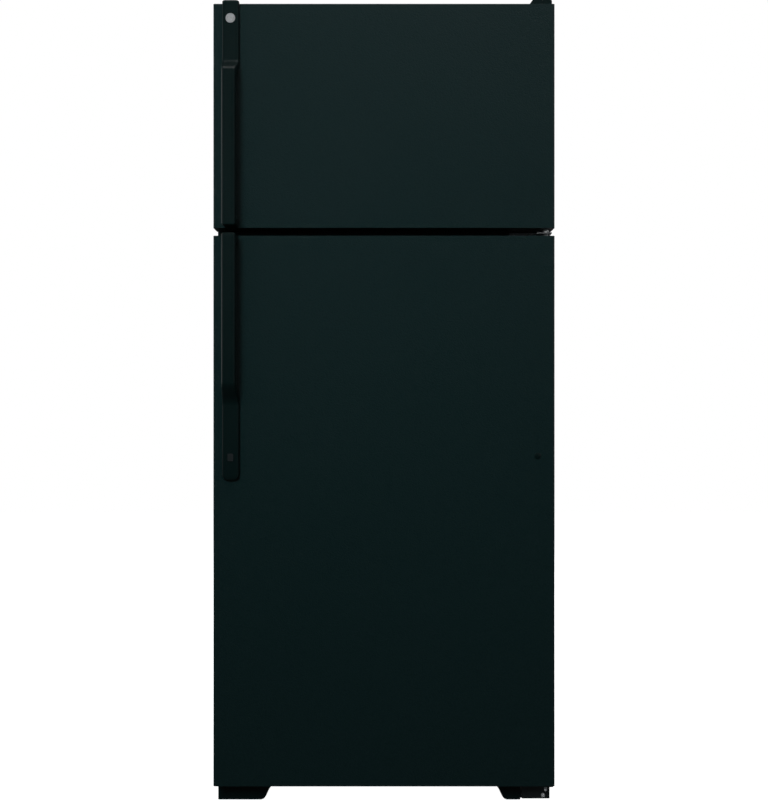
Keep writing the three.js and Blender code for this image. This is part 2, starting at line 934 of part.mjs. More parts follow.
const evaporatorCoverTop = freezerCeiling - 20;
const evaporatorFanZ = evaporatorCoverTop - 75;
const evaporatorFanRadius = 46;
const evaporatorFanDepth = 18;
const evaporatorFanGap = 4; // behind the cover
const evaporatorFanHoleGap = 3;
const evaporatorFanY = evaporatorCoverY + linerWall + evaporatorFanGap + evaporatorFanDepth / 2;
const returnSlots = 12;
const returnSlotHalf = 15;
const returnSlotZ = [freezerFloor + 14, freezerFloor + 22];
const returnSlotMargin = 60;

function evaporatorCover() {
  const wall = block(
    spread(0, shelfHalf),
    [evaporatorCoverY, evaporatorCoverY + linerWall],
    [freezerFloor + clearance, evaporatorCoverTop],
  );
  const roof = block(
    spread(0, shelfHalf),
    [evaporatorCoverY, roomBack - clearance],
    [evaporatorCoverTop - linerWall, evaporatorCoverTop],
  );
  const fanHole = rod(
    "y",
    [0, evaporatorFanZ],
    evaporatorFanRadius + evaporatorFanHoleGap,
    spread(evaporatorCoverY, 2 * linerWall),
    24,
  );
  const slotReach = shelfHalf - returnSlotMargin;
  const slots = evenly(returnSlots, -slotReach, slotReach).map((x) =>
    block(spread(x, returnSlotHalf), spread(evaporatorCoverY, 2 * linerWall), returnSlotZ),
  );
  return cut(join([wall, roof]), [fanHole, ...slots]);
}

// The evaporator: aluminium fins on tubes that run to and fro.
const evaporatorHalf = 190;
const evaporatorLow = freezerFloor + 18;
const evaporatorRows = 3;
const evaporatorPitch = 48;
const evaporatorFins = 11;
const evaporatorFinHalf = [0.6, 20]; // half its thickness and half its depth
const evaporatorTube = 5;
const evaporatorTubeEnd = 12; // beyond the last fin

function evaporator() {
  const middle = (evaporatorCoverY + linerWall + roomBack) / 2;
  const rows = Array.from(
    { length: evaporatorRows },
    (_, i) => evaporatorLow + evaporatorPitch * (i + 0.5),
  );
  const tubes = rows.map((z) =>
    rod("x", [middle, z], evaporatorTube, spread(0, evaporatorHalf + evaporatorTubeEnd), 6),
  );
  const fins = evenly(evaporatorFins, -evaporatorHalf, evaporatorHalf).map((x) =>
    block(
      spread(x, evaporatorFinHalf[0]),
      spread(middle, evaporatorFinHalf[1]),
      [evaporatorLow, evaporatorLow + evaporatorPitch * evaporatorRows],
    ),
  );
  return join([...tubes, ...fins]);
}

// The motor behind the evaporator fan, on a bracket against the back of the compartment.
const evaporatorMotorRadius = 20;
const evaporatorBracketHalf = [60, 12]; // half its length and half its height
const evaporatorBracketThickness = 2;

function evaporatorFanMotor() {
  const front = evaporatorFanY + evaporatorFanDepth / 2 + motorGap;
  const back = roomBack - clearance;
  const motor = rod("y", [0, evaporatorFanZ], evaporatorMotorRadius, [front, back]);
  const bracket = block(
    spread(0, evaporatorBracketHalf[0]),
    [back - evaporatorBracketThickness, back],
    spread(evaporatorFanZ, evaporatorBracketHalf[1]),
  );
  const shaft = rod(
    "y",
    [0, evaporatorFanZ],
    fanShaftRadius,
    [evaporatorFanY - evaporatorFanDepth / 2, front + 1],
    12,
  );
  return join([motor, bracket, shaft]);
}

// The wire shelf: a frame of thicker wire with thinner wires from front to back.
function freezerShelf() {
  const z = freezerShelfHeight + shelfWire;
  const back = evaporatorCoverY - freezerShelfGap;
  const half = shelfHalf - shelfWire;
  const cross = [shelfFront + shelfWire, (shelfFront + back) / 2, back - shelfWire].map((y) =>
    rod("x", [y, z], shelfWire, [-half, half], 6),
  );
  const wires = evenly(shelfWireCount, -half, half).map((x) =>
    rod("y", [x, z + thinWire], thinWire, [shelfFront, back], 4),
  );
  const rim = [-half, half].map((x) => rod("y", [x, z], shelfWire, [shelfFront, back], 6));
  return join([...cross, ...wires, ...rim]);
}

place(cabinet, "evaporator", "aluminium", evaporator());
place(cabinet, "evaporator_cover", "whitePlastic", evaporatorCover());
place(cabinet, "evaporator_fan_motor", "zincSteel", evaporatorFanMotor());
place(
  cabinet,
  "evaporator_fan",
  "greyPlastic",
  fan(
    "y",
    [0, evaporatorFanZ],
    evaporatorFanY,
    evaporatorFanRadius,
    motorRadius / 2,
    evaporatorFanDepth,
  ),
);
place(cabinet, "freezer_shelf", "whitePlastic", freezerShelf());

// ---------------------------------------------------------------------------------------------
// Fresh food compartment: shelves, crispers, controls and lamp
// ---------------------------------------------------------------------------------------------

// A glass plate in a moulded rim. The plate and the rim are bonded into one piece.
function glassShelf(height) {
  const back = roomBack - shelfSideGap;
  const rim = block(
    spread(0, shelfHalf),
    [shelfFront, back],
    [height, height + shelfThickness],
  );
  const inner = [
    spread(0, shelfHalf - shelfRim),
    [shelfFront + shelfRim, back - shelfRim],
  ];
  const glassLow = height + shelfThickness - shelfGlass - 1;
  return cut(rim, [
    block(...inner, [height - 1, glassLow]),
    block(...inner, [glassLow + shelfGlass, height + shelfThickness + 1]),
  ]);
}

// A drawer: an open box with a thicker front that ends in a finger pull.
const crisperHalf = roomHalf - crisperSideGap;
const crisperLow = freshFloor + crisperRise;
const crisperBack = stepFront - crisperBackGap;
const crisperFront = shelfFront + crisperPull;

function crisper(side) {
  const x = side < 0 ? [-crisperHalf, -crisperMiddleGap / 2] : [crisperMiddleGap / 2, crisperHalf];
  const z = [crisperLow, crisperLow + crisperHeight];
  const box = block(x, [crisperFront, crisperBack], z);
  const inside = block(
    [x[0] + crisperWall, x[1] - crisperWall],
    [crisperFront + crisperWall, crisperBack - crisperWall],
    [z[0] + crisperWall, z[1] + 1],
  );
  const pullFront = crisperFront - crisperPull;
  const pull = prism(
    "x",
    polygon([
      [crisperFront + 1, z[1]],
      [pullFront, z[1]],
      [pullFront, z[1] - crisperPullTall],
      [pullFront + crisperWall, z[1] - crisperPullTall],
      [pullFront + crisperWall, z[1] - crisperWall],
      [crisperFront + 1, z[1] - crisperWall],
    ]),
    [x[0] + crisperBackGap, x[1] - crisperBackGap],
  );
  return box.subtract(inside).add(pull);
}

// The housing under the ceiling that holds the two controls, the lamp and the door switch.
const housingFront = doorBack + dykeDepth + housingSetback;
const housingLow = freshCeiling - housingTall;
const controlZ = housingLow + housingTall / 2;
const lampY = housingFront + lampSetback;
const lampZ = housingLow + lampRise;
const plungerTip = doorBack + dykeDepth + plungerGap;
const spindleTip = housingFront - knobDepth + spindleRadius;

function controlHousing() {
  const back = housingFront + housingDepth;
  const top = freshCeiling - clearance;
  const whole = prism(
    "x",
    polygon([
      [housingFront, housingLow + housingChamfer],
      [housingFront + housingChamfer, housingLow],
      [back, housingLow],
      [back, top],
      [housingFront, top],
    ]),
    [-housingHalf, housingHalf],
  );
  const inside = block(
    spread(0, housingHalf - housingWall),
    [housingFront + housingChamfer, back - housingWall],
    [housingLow + housingWall, top + 1],
  );
  const window = block(
    [lampStart + lampSocketThickness, lampStart + lampLength + 6 * lampWindowMargin],
    spread(lampY, lampRadius + lampWindowMargin),
    [housingLow - 1, housingLow + housingWall + 1],
  );
  const plungerHole = rod(
    "y",
    [switchX, controlZ],
    plungerRadius + bearingGap,
    [housingFront - 1, housingFront + housingChamfer + 1],
  );
  const spindles = [-controlX, controlX].map((x) =>
    rod("y", [x, controlZ], spindleRadius, [spindleTip, housingFront + housingChamfer + 1], 12),
  );
  const socket = block(
    [lampStart - lampSocketThickness, lampStart],
    spread(lampY, lampRadius + 1),
    [housingLow + 1, top],
  );
  return join([cut(whole, [inside, window, plungerHole]), ...spindles, socket]);
}

// A lamp bulb lying along X, screwed into its socket. It swells from its base to the globe.
function lamp() {
  const start = lampStart + clearance;
  return turned(
    "x",
    [lampY, lampZ],
    [
      [0, start],
      [lampBaseRadius, start],
      [lampBaseRadius, start + lampLength * 0.26],
      [lampBaseRadius + 1, start + lampLength * 0.33],
      [lampRadius, start + lampLength * 0.47],
      [lampRadius, start + lampLength * 0.84],
      [lampRadius * 0.73, start + lampLength * 0.95],
      [0, start + lampLength],
    ],
    16,
  );
}

function knob(x) {
  const back = housingFront - clearance;
  const front = back - knobDepth;
  const edge = 1.5;
  const body = turned("y", [x, controlZ], [
    [0, front],
    [knobRadius - 2 * edge, front],
    [knobRadius - edge / 2, front + edge],
    [knobRadius, back],
    [0, back],
  ]);
  const grip = block(
    spread(x, spindleRadius),
    [front - knobGrip, front + 1],
    spread(controlZ, knobRadius - 2 * edge),
  );
  const bore = rod(
    "y",
    [x, controlZ],
    spindleRadius + bearingGap,
    [spindleTip - 1, back + 1],
  );
  return body.add(grip).subtract(bore);
}

function plunger() {
  return rod("y", [switchX, controlZ], plungerRadius, [plungerTip, housingFront + plungerInside]);
}

place(cabinet, "shelf_upper", "glass", glassShelf(upperShelfHeight));
place(cabinet, "shelf_lower", "glass", glassShelf(lowerShelfHeight));
place(cabinet, "crisper_cover", "glass", glassShelf(stepTop));
place(cabinet, "crisper_left", "clearPlastic", crisper(-1));
place(cabinet, "crisper_right", "clearPlastic", crisper(1));
place(cabinet, "control_housing", "whitePlastic", controlHousing());
place(cabinet, "lamp", "glass", lamp());
place(cabinet, "fresh_food_knob", "whitePlastic", knob(-controlX));
place(cabinet, "freezer_knob", "whitePlastic", knob(controlX));
place(cabinet, "light_switch_plunger", "whitePlastic", plunger());

// ---------------------------------------------------------------------------------------------
// Door hinges
// ---------------------------------------------------------------------------------------------

const topHingeLow = freezerDoorTop + 1;
const topHingeBack = caseFront + topHingeLength;
const topHingeX = [hingeX - topHingeInner, hingeX + hingePlateReach - 2];
const topHingeFootFront = caseFront + 10;

function topHinge() {
  const plate = block(
    topHingeX,
    [hingeY - hingePlateReach, topHingeBack],
    [topHingeLow, topHingeLow + hingePlate],
  );
  const foot = block(
    topHingeX,
    [topHingeFootFront, topHingeBack],
    [caseTop + clearance, topHingeLow + 1],
  );
  const pin = rod(
    "z",
    [hingeX, hingeY],
    hingePinRadius,
    [freezerDoorTop - hingePinDepth, topHingeLow + hingePlate + 2],
  );
  return join([plate, foot, pin]);
}

const hingeCoverTop = freezerDoorTop + hingeCoverHeight;
const hingeCoverMargin = 2 * hingeCoverWall; // beyond the hinge, in front and behind

function topHingeCover() {
  const x = [topHingeX[0] - 5, topHingeX[1] + 1.5];
  const low = topHingeLow + 0.5;
  const y = [hingeY - hingePlateReach - hingeCoverMargin, topHingeBack + 2 * hingeCoverMargin];
  const slope = hingeCoverSlope;
  const outer = prism(
    "y",
    polygon([
      [x[0], low],
      [x[1], low],
      [x[1], hingeCoverTop - hingeCoverWall],
      [x[1] - hingeCoverChamfer, hingeCoverTop],
      [x[0] + slope, hingeCoverTop],
    ]),
    y,
  );
  const inside = prism(
    "y",
    polygon([
      [x[0] + hingeCoverWall, low - 1],
      [topHingeX[1] + clearance, low - 1],
      [topHingeX[1] + clearance, hingeCoverTop - hingeCoverWall],
      [x[0] + slope + 1, hingeCoverTop - hingeCoverWall],
    ]),
    [y[0] + hingeCoverWall, y[1] - hingeCoverWall],
  );
  return outer.subtract(inside);
}

const centreHingeZ = freshDoorTop + doorGap / 2;
const hingeFlangeFront = caseFront - clearance - hingePlate;

function centreHinge() {
  const flange = block(
    [hingeX - centreFlangeInner, hingeX + hingePlateReach],
    [hingeFlangeFront, caseFront - clearance],
    spread(centreHingeZ, doorGap / 2 - 1),
  );
  const plate = block(
    [hingeX - 2 * hingeBossRadius, hingeX + hingePlateReach],
    [hingeY - hingePlateReach, hingeFlangeFront + 1],
    spread(centreHingeZ, hingePlate / 2),
  );
  const pin = rod(
    "z",
    [hingeX, hingeY],
    hingePinRadius,
    [freshDoorTop - hingePinDepth, freezerDoorBottom + hingePinDepth],
  );
  return join([flange, plate, pin]);
}

const bottomHingeGap = 4; // under the door
const bottomHingeZ = doorBottom - bottomHingeGap - hingePlate;
const bottomHingeRight = halfWidth - grilleSideGap;

function bottomHinge() {
  const flange = block(
    [grilleRight + bottomHingeGap, bottomHingeRight],
    [hingeFlangeFront, caseFront - clearance],
    [grilleBottom + 1, bottomHingeZ + hingePlate],
  );
  const plate = block(
    [hingeX - 2 * hingeBossRadius, bottomHingeRight],
    [hingeY - hingePlateReach, hingeFlangeFront + 1],
    [bottomHingeZ, bottomHingeZ + hingePlate],
  );
  const pin = rod(
    "z",
    [hingeX, hingeY],
    hingePinRadius,
    [bottomHingeZ + 1, doorBottom + hingePinDepth],
  );
  return join([flange, plate, pin]);
}

place(cabinet, "top_hinge", "zincSteel", topHinge());
place(cabinet, "top_hinge_cover", "blackPlastic", topHingeCover());
place(cabinet, "center_hinge", "zincSteel", centreHinge());
place(cabinet, "bottom_hinge", "blackSteel", bottomHinge());

// ---------------------------------------------------------------------------------------------
// Doors. Each is modelled in a frame of its own: x from the middle of the door, y from its
// front face towards the cabinet and z from its lower edge.
// ---------------------------------------------------------------------------------------------

const linerFront = doorThickness - linerWall;
const skinBack = linerFront - clearance;
const hingeInDoor = [hingeX, hingeSetback];

function doorSkin(height) {
  const whole = prism(
    "z",
    roundedRectangle([-halfWidth, halfWidth], [0, skinBack], doorEdgeRadius, 0),
    [0, height],
    2,
  );
  const inside = prism(
    "z",
    roundedRectangle(
      spread(0, halfWidth - sheet),
      [sheet, skinBack - sheet],
      doorEdgeRadius - sheet,
      0,
    ),
    [-1, height + 1],
    2,
  );
  const opening = block(
    spread(0, halfWidth - skinReturn),
    [skinBack - sheet - 1, skinBack + 1],
    [-1, height + 1],
  );
  return cut(whole, [inside, opening]);
}

// The space inside the folded skin, between two heights.
function skinFilling(z) {
  const x = spread(0, halfWidth - sheet - clearance);
  const y = [sheet + clearance, skinBack - sheet - clearance];
  return prism("z", roundedRectangle(x, y, doorEdgeRadius - sheet, 0), z, 2);
}

// A plastic plate that closes one end of the skin, with the boss that holds a hinge pin.
function endCap(height, atTop) {
  const bossLength = hingePinDepth + hingeBossWall;
  const plateZ = atTop ? [height - endCapThickness, height] : [0, endCapThickness];
  const bossZ = atTop ? [height - bossLength, height - 1] : [1, bossLength];
  const boreZ = atTop ? [height - hingePinDepth - 2, height + 1] : [-1, hingePinDepth + 2];
  return cut(skinFilling(plateZ).add(rod("z", hingeInDoor, hingeBossRadius, bossZ)), [
    rod("z", hingeInDoor, hingeBoreRadius, boreZ),
  ]);
}

// The dyke: a raised frame on the inner side of a door, grown or shrunk by an offset.
function dyke(low, high, offset, y) {
  const outer = roundedRectangle(
    spread(0, dykeHalf - offset),
    [low + offset, high - offset],
    dykeOuterRadius - offset,
  );
  const hole = roundedRectangle(
    spread(0, dykeHalf - dykeWidth + offset),
    [low + dykeWidth - offset, high - dykeWidth + offset],
    dykeInnerRadius,
  );
  return prism("y", outer, y, 2).subtract(prism("y", hole, [y[0] - 1, y[1] + 1], 2));
}

const linerEdge = 2; // from the inner panel to the upper and lower edges of the door
const linerSide = skinReturn - 2; // from the inner panel to the sides of the door
const dykeBack = doorThickness + dykeDepth;

function doorLiner(height, low, high, shelves) {
  const panel = block(
    spread(0, halfWidth - linerSide),
    [linerFront, doorThickness],
    [linerEdge, height - linerEdge],
  );
  const raised = dyke(low, high, 0, [linerFront + 1, dykeBack]);
  const hollow = dyke(low, high, linerWall, [linerFront - 1, dykeBack - linerWall]);
  return join([panel, raised, ...shelves]).subtract(hollow);
}

function doorFoam(height, low, high) {
  const filling = skinFilling([endCapThickness + clearance, height - endCapThickness - clearance]);
  const inDyke = dyke(low, high, linerWall + clearance, [
    skinBack - sheet - clearance - 1,
    dykeBack - linerWall - clearance,
  ]);
  const bossLength = hingePinDepth + hingeBossWall + clearance;
  const bosses = [
    [-1, bossLength],
    [height - bossLength, height + 1],
  ].map((z) => rod("z", hingeInDoor, hingeBossRadius + bearingGap, z));
  return cut(filling.add(inDyke), bosses);
}

function gasket(height) {
  const outer = roundedRectangle(
    spread(0, gasketHalfWidth),
    [gasketInset, height - gasketInset],
    gasketCorner,
  );
  const hole = roundedRectangle(
    spread(0, gasketHalfWidth - gasketWidth),
    [gasketInset + gasketWidth, height - gasketInset - gasketWidth],
    gasketCorner / 2,
  );
  const y = [doorThickness + clearance, doorThickness + gasketThickness - clearance];
  return prism("y", outer, y, 1).subtract(prism("y", hole, [y[0] - 1, y[1] + 1], 1));
}

// An open bin that hangs between the sides of the dyke.
function doorBin(height, wall) {
  const y = [doorThickness + clearance, doorThickness + binDepth];
  const outer = prism(
    "z",
    roundedRectangle(spread(0, binHalf), y, 0, binCorner),
    [height, height + wall],
    2,
  );
  const inside = prism(
    "z",
    roundedRectangle(
      spread(0, binHalf - binWall),
      [y[0] + binWall, y[1] - binWall],
      0,
      binCorner - binWall,
    ),
    [height + binWall, height + wall + 1],
    2,
  );
  return outer.subtract(inside);
}

// A handle, seen from the side: a grip that stands off the door, closed by a leg at its free
// end, and an S bend down to the pad that holds it. "along" runs from the free end.
function handle(toZ, gripLength, bend, length, lipDepth, endRadius) {
  const back = -clearance;
  const gripBack = -handleStandOff + gripThickness;
  const padStart = gripLength + bend;
  const innerStart = gripLength - gripThickness;
  const outline = new THREE.Shape();
  const point = (y, along) => [y, toZ(along)];
  outline.moveTo(...point(back, 0));
  outline.lineTo(...point(-handleStandOff + handleEdge, 0));
  outline.lineTo(...point(-handleStandOff, handleEdge));
  outline.lineTo(...point(-handleStandOff, gripLength));
  outline.bezierCurveTo(
    ...point(-handleStandOff, gripLength + bend / 2),
    ...point(-padThickness, padStart - bend / 2),
    ...point(-padThickness, padStart),
  );
  outline.lineTo(...point(-padThickness, length - padEdge));
  outline.lineTo(...point(-padThickness + padEdge, length));
  if (lipDepth > 0) {
    outline.lineTo(...point(lipDepth, length));
    outline.lineTo(...point(lipDepth, length - handleTopLip + clearance));
    outline.lineTo(...point(back, length - handleTopLip + clearance));
  } else {
    outline.lineTo(...point(back, length));
  }
  outline.lineTo(...point(back, padStart));
  outline.bezierCurveTo(
    ...point(back, padStart - bend / 2),
    ...point(gripBack, innerStart + bend / 2),
    ...point(gripBack, innerStart),
  );
  outline.lineTo(...point(gripBack, gripThickness));
  outline.lineTo(...point(back, gripThickness));
  const side = prism("x", outline, spread(handleX, padWidth / 2), 6);

  const face = new THREE.Shape();
  const edge = (half, along) => [handleX + half, toZ(along)];
  const end = length + 1;
  face.moveTo(...edge(-gripWidth / 2, -1));
  face.lineTo(...edge(gripWidth / 2, -1));
  face.lineTo(...edge(gripWidth / 2, gripLength));
  face.lineTo(...edge(padWidth / 2, padStart));
  if (endRadius > 0) {
    face.lineTo(...edge(padWidth / 2, length - endRadius));
    face.quadraticCurveTo(
      ...edge(padWidth / 2, length),
      ...edge(padWidth / 2 - endRadius, length),
    );
    face.lineTo(...edge(-padWidth / 2 + endRadius, length));
    face.quadraticCurveTo(
      ...edge(-padWidth / 2, length),
      ...edge(-padWidth / 2, length - endRadius),
    );
  } else {
    face.lineTo(...edge(padWidth / 2, end));
    face.lineTo(...edge(-padWidth / 2, end));
  }
  face.lineTo(...edge(-padWidth / 2, padStart));
  face.lineTo(...edge(-gripWidth / 2, gripLength));
  return side.intersect(prism("y", face, [-handleStandOff - 1, lipDepth + 1], 4));
}

function freezerHandle() {
  const length = freezerDoorHeight + handleTopLip;
  const toZ = (along) => along;
  return handle(toZ, freezerGripLength, freezerHandleBend, length, freezerLipDepth, 0);
}

function freshHandle() {
  const length = freshGripLength + freshHandleBend + freshPadLength;
  const toZ = (along) => freshDoorHeight - along;
  return handle(toZ, freshGripLength, freshHandleBend, length, 0, padEndRadius);
}

const freezerDykeLow = freezerFloor + dykeClearance - freezerDoorBottom;
const freezerDykeHigh = freezerCeiling - dykeClearance - freezerDoorBottom;
const freshDykeLow = freshFloor + dykeClearance - doorBottom;
const freshDykeHigh = freshCeiling - dykeClearance - doorBottom;
const dairyTop = freshDykeHigh - dykeWidth;
const dairyHeight = dairyTop - dairyTall;

// Bins share out the height between the lower side of the dyke and the given limit.
function placeBins(door, bins, dykeLow, limit) {
  const lowest = dykeLow + dykeWidth + binRise;
  const pitch = (limit - lowest) / bins.length;
  bins.forEach(({ name, wall }, i) => {
    place(door, name, "clearPlastic", doorBin(lowest + i * pitch, wall));
  });
}

// Freezer door
const freezerDoor = new THREE.Group();
freezerDoor.position.set(0, doorFront, freezerDoorBottom);
refrigerator.add(freezerDoor);

function badge() {
  const face = -padThickness - clearance;
  return turned(
    "y",
    [handleX, freezerDoorHeight - badgeDrop],
    [
      [0, face - badgeThickness],
      [badgeRadius - badgeEdge, face - badgeThickness],
      [badgeRadius, face - badgeThickness + badgeEdge],
      [badgeRadius, face],
      [0, face],
    ],
    28,
  );
}

place(freezerDoor, "freezer_door_skin", "blackSteel", doorSkin(freezerDoorHeight));
place(freezerDoor, "freezer_door_top_cap", "blackPlastic", endCap(freezerDoorHeight, true));
place(freezerDoor, "freezer_door_bottom_cap", "blackPlastic", endCap(freezerDoorHeight, false));
place(
  freezerDoor,
  "freezer_door_foam",
  "foam",
  doorFoam(freezerDoorHeight, freezerDykeLow, freezerDykeHigh),
);
place(
  freezerDoor,
  "freezer_door_liner",
  "whitePlastic",
  doorLiner(freezerDoorHeight, freezerDykeLow, freezerDykeHigh, []),
);
place(freezerDoor, "freezer_door_gasket", "vinyl", gasket(freezerDoorHeight));
place(freezerDoor, "freezer_handle", "blackPlastic", freezerHandle());
place(freezerDoor, "handle_badge", "badge", badge());
placeBins(freezerDoor, freezerBins, freezerDykeLow, freezerDykeHigh - dykeWidth);

// Fresh food door
const freshDoor = new THREE.Group();
freshDoor.position.set(0, doorFront, doorBottom);
refrigerator.add(freshDoor);

const plugX = halfWidth - 35.6;
const plugDrop = 458.6;
const plugRadius = 7;
const plugDome = 3;
const plugStem = 3.5;
const plugStemLength = 8;
const screwCoverHalf = [5.8, 7.8];
const screwCoverDrop = 461;
const screwCoverThickness = 1.2;
const screwCoverCorner = 2;

// A domed button that closes the unused handle hole on the hinge side.
function holePlug() {
  return turned(
    "y",
    [plugX, freshDoorHeight - plugDrop],
    [
      [0, -plugDome],
      [plugRadius * 0.6, -plugDome * 0.8],
      [plugRadius, -clearance - plugDome * 0.25],
      [plugRadius, -clearance],
      [plugStem, -clearance],
      [plugStem, plugStemLength],
      [0, plugStemLength],
    ],
  );
}

const plugHole = () =>
  rod(
    "y",
    [plugX, freshDoorHeight - plugDrop],
    plugStem + clearance,
    [-1, plugStemLength + clearance],
  );

function screwCover() {
  return prism(
    "y",
    roundedRectangle(
      spread(handleX, screwCoverHalf[0]),
      spread(freshDoorHeight - screwCoverDrop, screwCoverHalf[1]),
      screwCoverCorner,
    ),
    [-padThickness - clearance - screwCoverThickness, -padThickness - clearance],
    2,
  );
}

// The dairy compartment: a floor and a roof between the sides of the dyke, moulded with the
// inner panel, and a cover that swings up about its upper edge.
const dairyCoverBack = doorThickness + binDepth;
const dairyShelfBack = dairyCoverBack - 2 * dairyCoverRadius;
const dairyPivotY = dairyCoverBack - dairyCoverRadius;
const dairyPivotZ = dairyTop - 2 * dairyCoverRadius;
const dairyCoverHalf = binHalf - dairyWall;
const dairyPinLength = dairyWall + 0.4; // through the ears beside the cover

function dairyShelves() {
  const half = dykeHalf - dykeWidth + 1;
  const floor = block(
    [-half, half],
    [linerFront + 1, dairyShelfBack],
    [dairyHeight, dairyHeight + dairyWall],
  );
  const roof = block(
    [-half, half],
    [linerFront + 1, dairyPivotY - 2 * dairyCoverRadius],
    [dairyTop, dairyTop + dairyWall],
  );
  const ears = [-1, 1].map((side) =>
    block(
      side < 0 ? [-half, -binHalf + 1] : [binHalf - 1, half],
      [linerFront + 1, dairyCoverBack],
      [dairyHeight, dairyTop + dairyWall],
    ),
  );
  const pivotHoles = [-1, 1].map((side) =>
    rod(
      "x",
      [dairyPivotY, dairyPivotZ],
      dairyPinRadius + bearingGap,
      spread(side * binHalf, dairyWall + 1),
      12,
    ),
  );
  return cut(join([floor, roof, ...ears]), pivotHoles);
}

function dairyCover() {
  const plate = block(
    spread(0, dairyCoverHalf),
    [dairyCoverBack - dairyWall, dairyCoverBack],
    [dairyHeight + dairyCoverRise, dairyPivotZ],
  );
  const barrel = rod(
    "x",
    [dairyPivotY, dairyPivotZ],
    dairyCoverRadius,
    spread(0, dairyCoverHalf),
    12,
  );
  const pins = rod(
    "x",
    [dairyPivotY, dairyPivotZ],
    dairyPinRadius,
    spread(0, dairyCoverHalf + dairyPinLength),
    12,
  );
  return join([plate, barrel, pins]);
}

place(
  freshDoor,
  "fresh_door_skin",
  "blackSteel",
  doorSkin(freshDoorHeight).subtract(plugHole()),
);
place(freshDoor, "fresh_door_top_cap", "blackPlastic", endCap(freshDoorHeight, true));
place(freshDoor, "fresh_door_bottom_cap", "blackPlastic", endCap(freshDoorHeight, false));
place(
  freshDoor,
  "fresh_door_foam",
  "foam",
  doorFoam(freshDoorHeight, freshDykeLow, freshDykeHigh).subtract(plugHole()),
);
place(
  freshDoor,
  "fresh_door_liner",
  "whitePlastic",
  doorLiner(freshDoorHeight, freshDykeLow, freshDykeHigh, [dairyShelves()]),
);
place(freshDoor, "fresh_door_gasket", "vinyl", gasket(freshDoorHeight));
place(freshDoor, "fresh_handle", "blackPlastic", freshHandle());
place(freshDoor, "handle_screw_cover", "greyPlastic", screwCover());
place(freshDoor, "hole_plug", "greyPlastic", holePlug());
placeBins(freshDoor, freshBins, freshDykeLow, dairyHeight);
place(freshDoor, "dairy_cover", "clearPlastic", dairyCover());

export default refrigerator;
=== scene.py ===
import math

import bmesh
import bpy
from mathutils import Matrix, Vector


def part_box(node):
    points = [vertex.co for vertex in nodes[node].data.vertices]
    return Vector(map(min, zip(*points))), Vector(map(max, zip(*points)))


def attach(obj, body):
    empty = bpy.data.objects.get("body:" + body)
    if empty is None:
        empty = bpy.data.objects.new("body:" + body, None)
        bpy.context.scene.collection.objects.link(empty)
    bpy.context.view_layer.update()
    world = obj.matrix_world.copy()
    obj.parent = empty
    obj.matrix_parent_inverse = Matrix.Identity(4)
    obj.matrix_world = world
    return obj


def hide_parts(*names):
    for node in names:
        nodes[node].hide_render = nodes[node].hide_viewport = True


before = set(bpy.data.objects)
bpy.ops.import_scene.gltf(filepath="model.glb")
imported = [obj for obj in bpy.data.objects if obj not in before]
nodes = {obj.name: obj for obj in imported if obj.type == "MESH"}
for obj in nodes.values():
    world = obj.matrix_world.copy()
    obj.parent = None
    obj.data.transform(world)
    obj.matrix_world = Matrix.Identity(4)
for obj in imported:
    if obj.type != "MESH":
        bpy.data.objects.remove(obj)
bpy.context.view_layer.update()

scene = bpy.context.scene

# Lengths are in metres and angles in degrees, except where a comment says otherwise.

# ---------------------------------------------------------------------------------------------
# Camera, floor and light
# ---------------------------------------------------------------------------------------------

SENSOR = 36.0  # mm, along the long side of the picture
VIEW_HEIGHT = 1.665  # seen at the door faces
CAMERA_DISTANCE = 2.4  # from the door faces
CAMERA_HEIGHT = 0.8564

WHITE = (1, 1, 1, 1)
ROOM_TINT = (0.86, 0.95, 1.0, 1)  # of the room that the object reflects
ROOM_STRENGTH = 0.06

FLOOR_HALF = 6.0
FLOOR_DROP = 0.0005  # below the feet
FLOOR_GREY = (0.5, 0.5, 0.5, 1)
FLOOR_ROUGHNESS = 0.9
SHADE_BEHIND_FRONT = 0.17  # from the front of the case to the painted shadow on the floor
SHADE_INSET = 0.03  # of the patch from the sides and the back of the case
SHADE_GLOW = 0.03  # of the floor in the patch, where the open floor has 1
SHADE_EDGE = (-0.02, 0.03)  # the patch fades between these distances past its outline


def make_camera():
    data = bpy.data.cameras.new("camera")
    data.sensor_fit = "AUTO"
    data.sensor_width = SENSOR
    data.lens = SENSOR * CAMERA_DISTANCE / VIEW_HEIGHT
    camera = bpy.data.objects.new("camera", data)
    door_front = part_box("fresh_door_skin")[0].y
    camera.location = (0, door_front - CAMERA_DISTANCE, CAMERA_HEIGHT)
    camera.rotation_euler = (math.radians(90), 0, 0)  # level, looking along +Y
    scene.collection.objects.link(camera)
    scene.camera = camera


def area_light(name, place, target, size, power, spread=180, mirrored=True):
    """A rectangular light, in watts. One that isn't mirrored shows in no reflection."""
    data = bpy.data.lights.new(name, "AREA")
    data.shape = "RECTANGLE"
    data.size, data.size_y = size
    data.energy = power
    data.spread = math.radians(spread)
    light = bpy.data.objects.new(name, data)
    light.location = place
    aim = Vector(target) - Vector(place)
    light.rotation_euler = aim.to_track_quat("-Z", "Y").to_euler()
    light.visible_glossy = mirrored
    scene.collection.objects.link(light)


def background(tree, colour, strength):
    node = tree.nodes.new("ShaderNodeBackground")
    node.inputs["Color"].default_value = colour
    node.inputs["Strength"].default_value = strength
    return node.outputs[0]


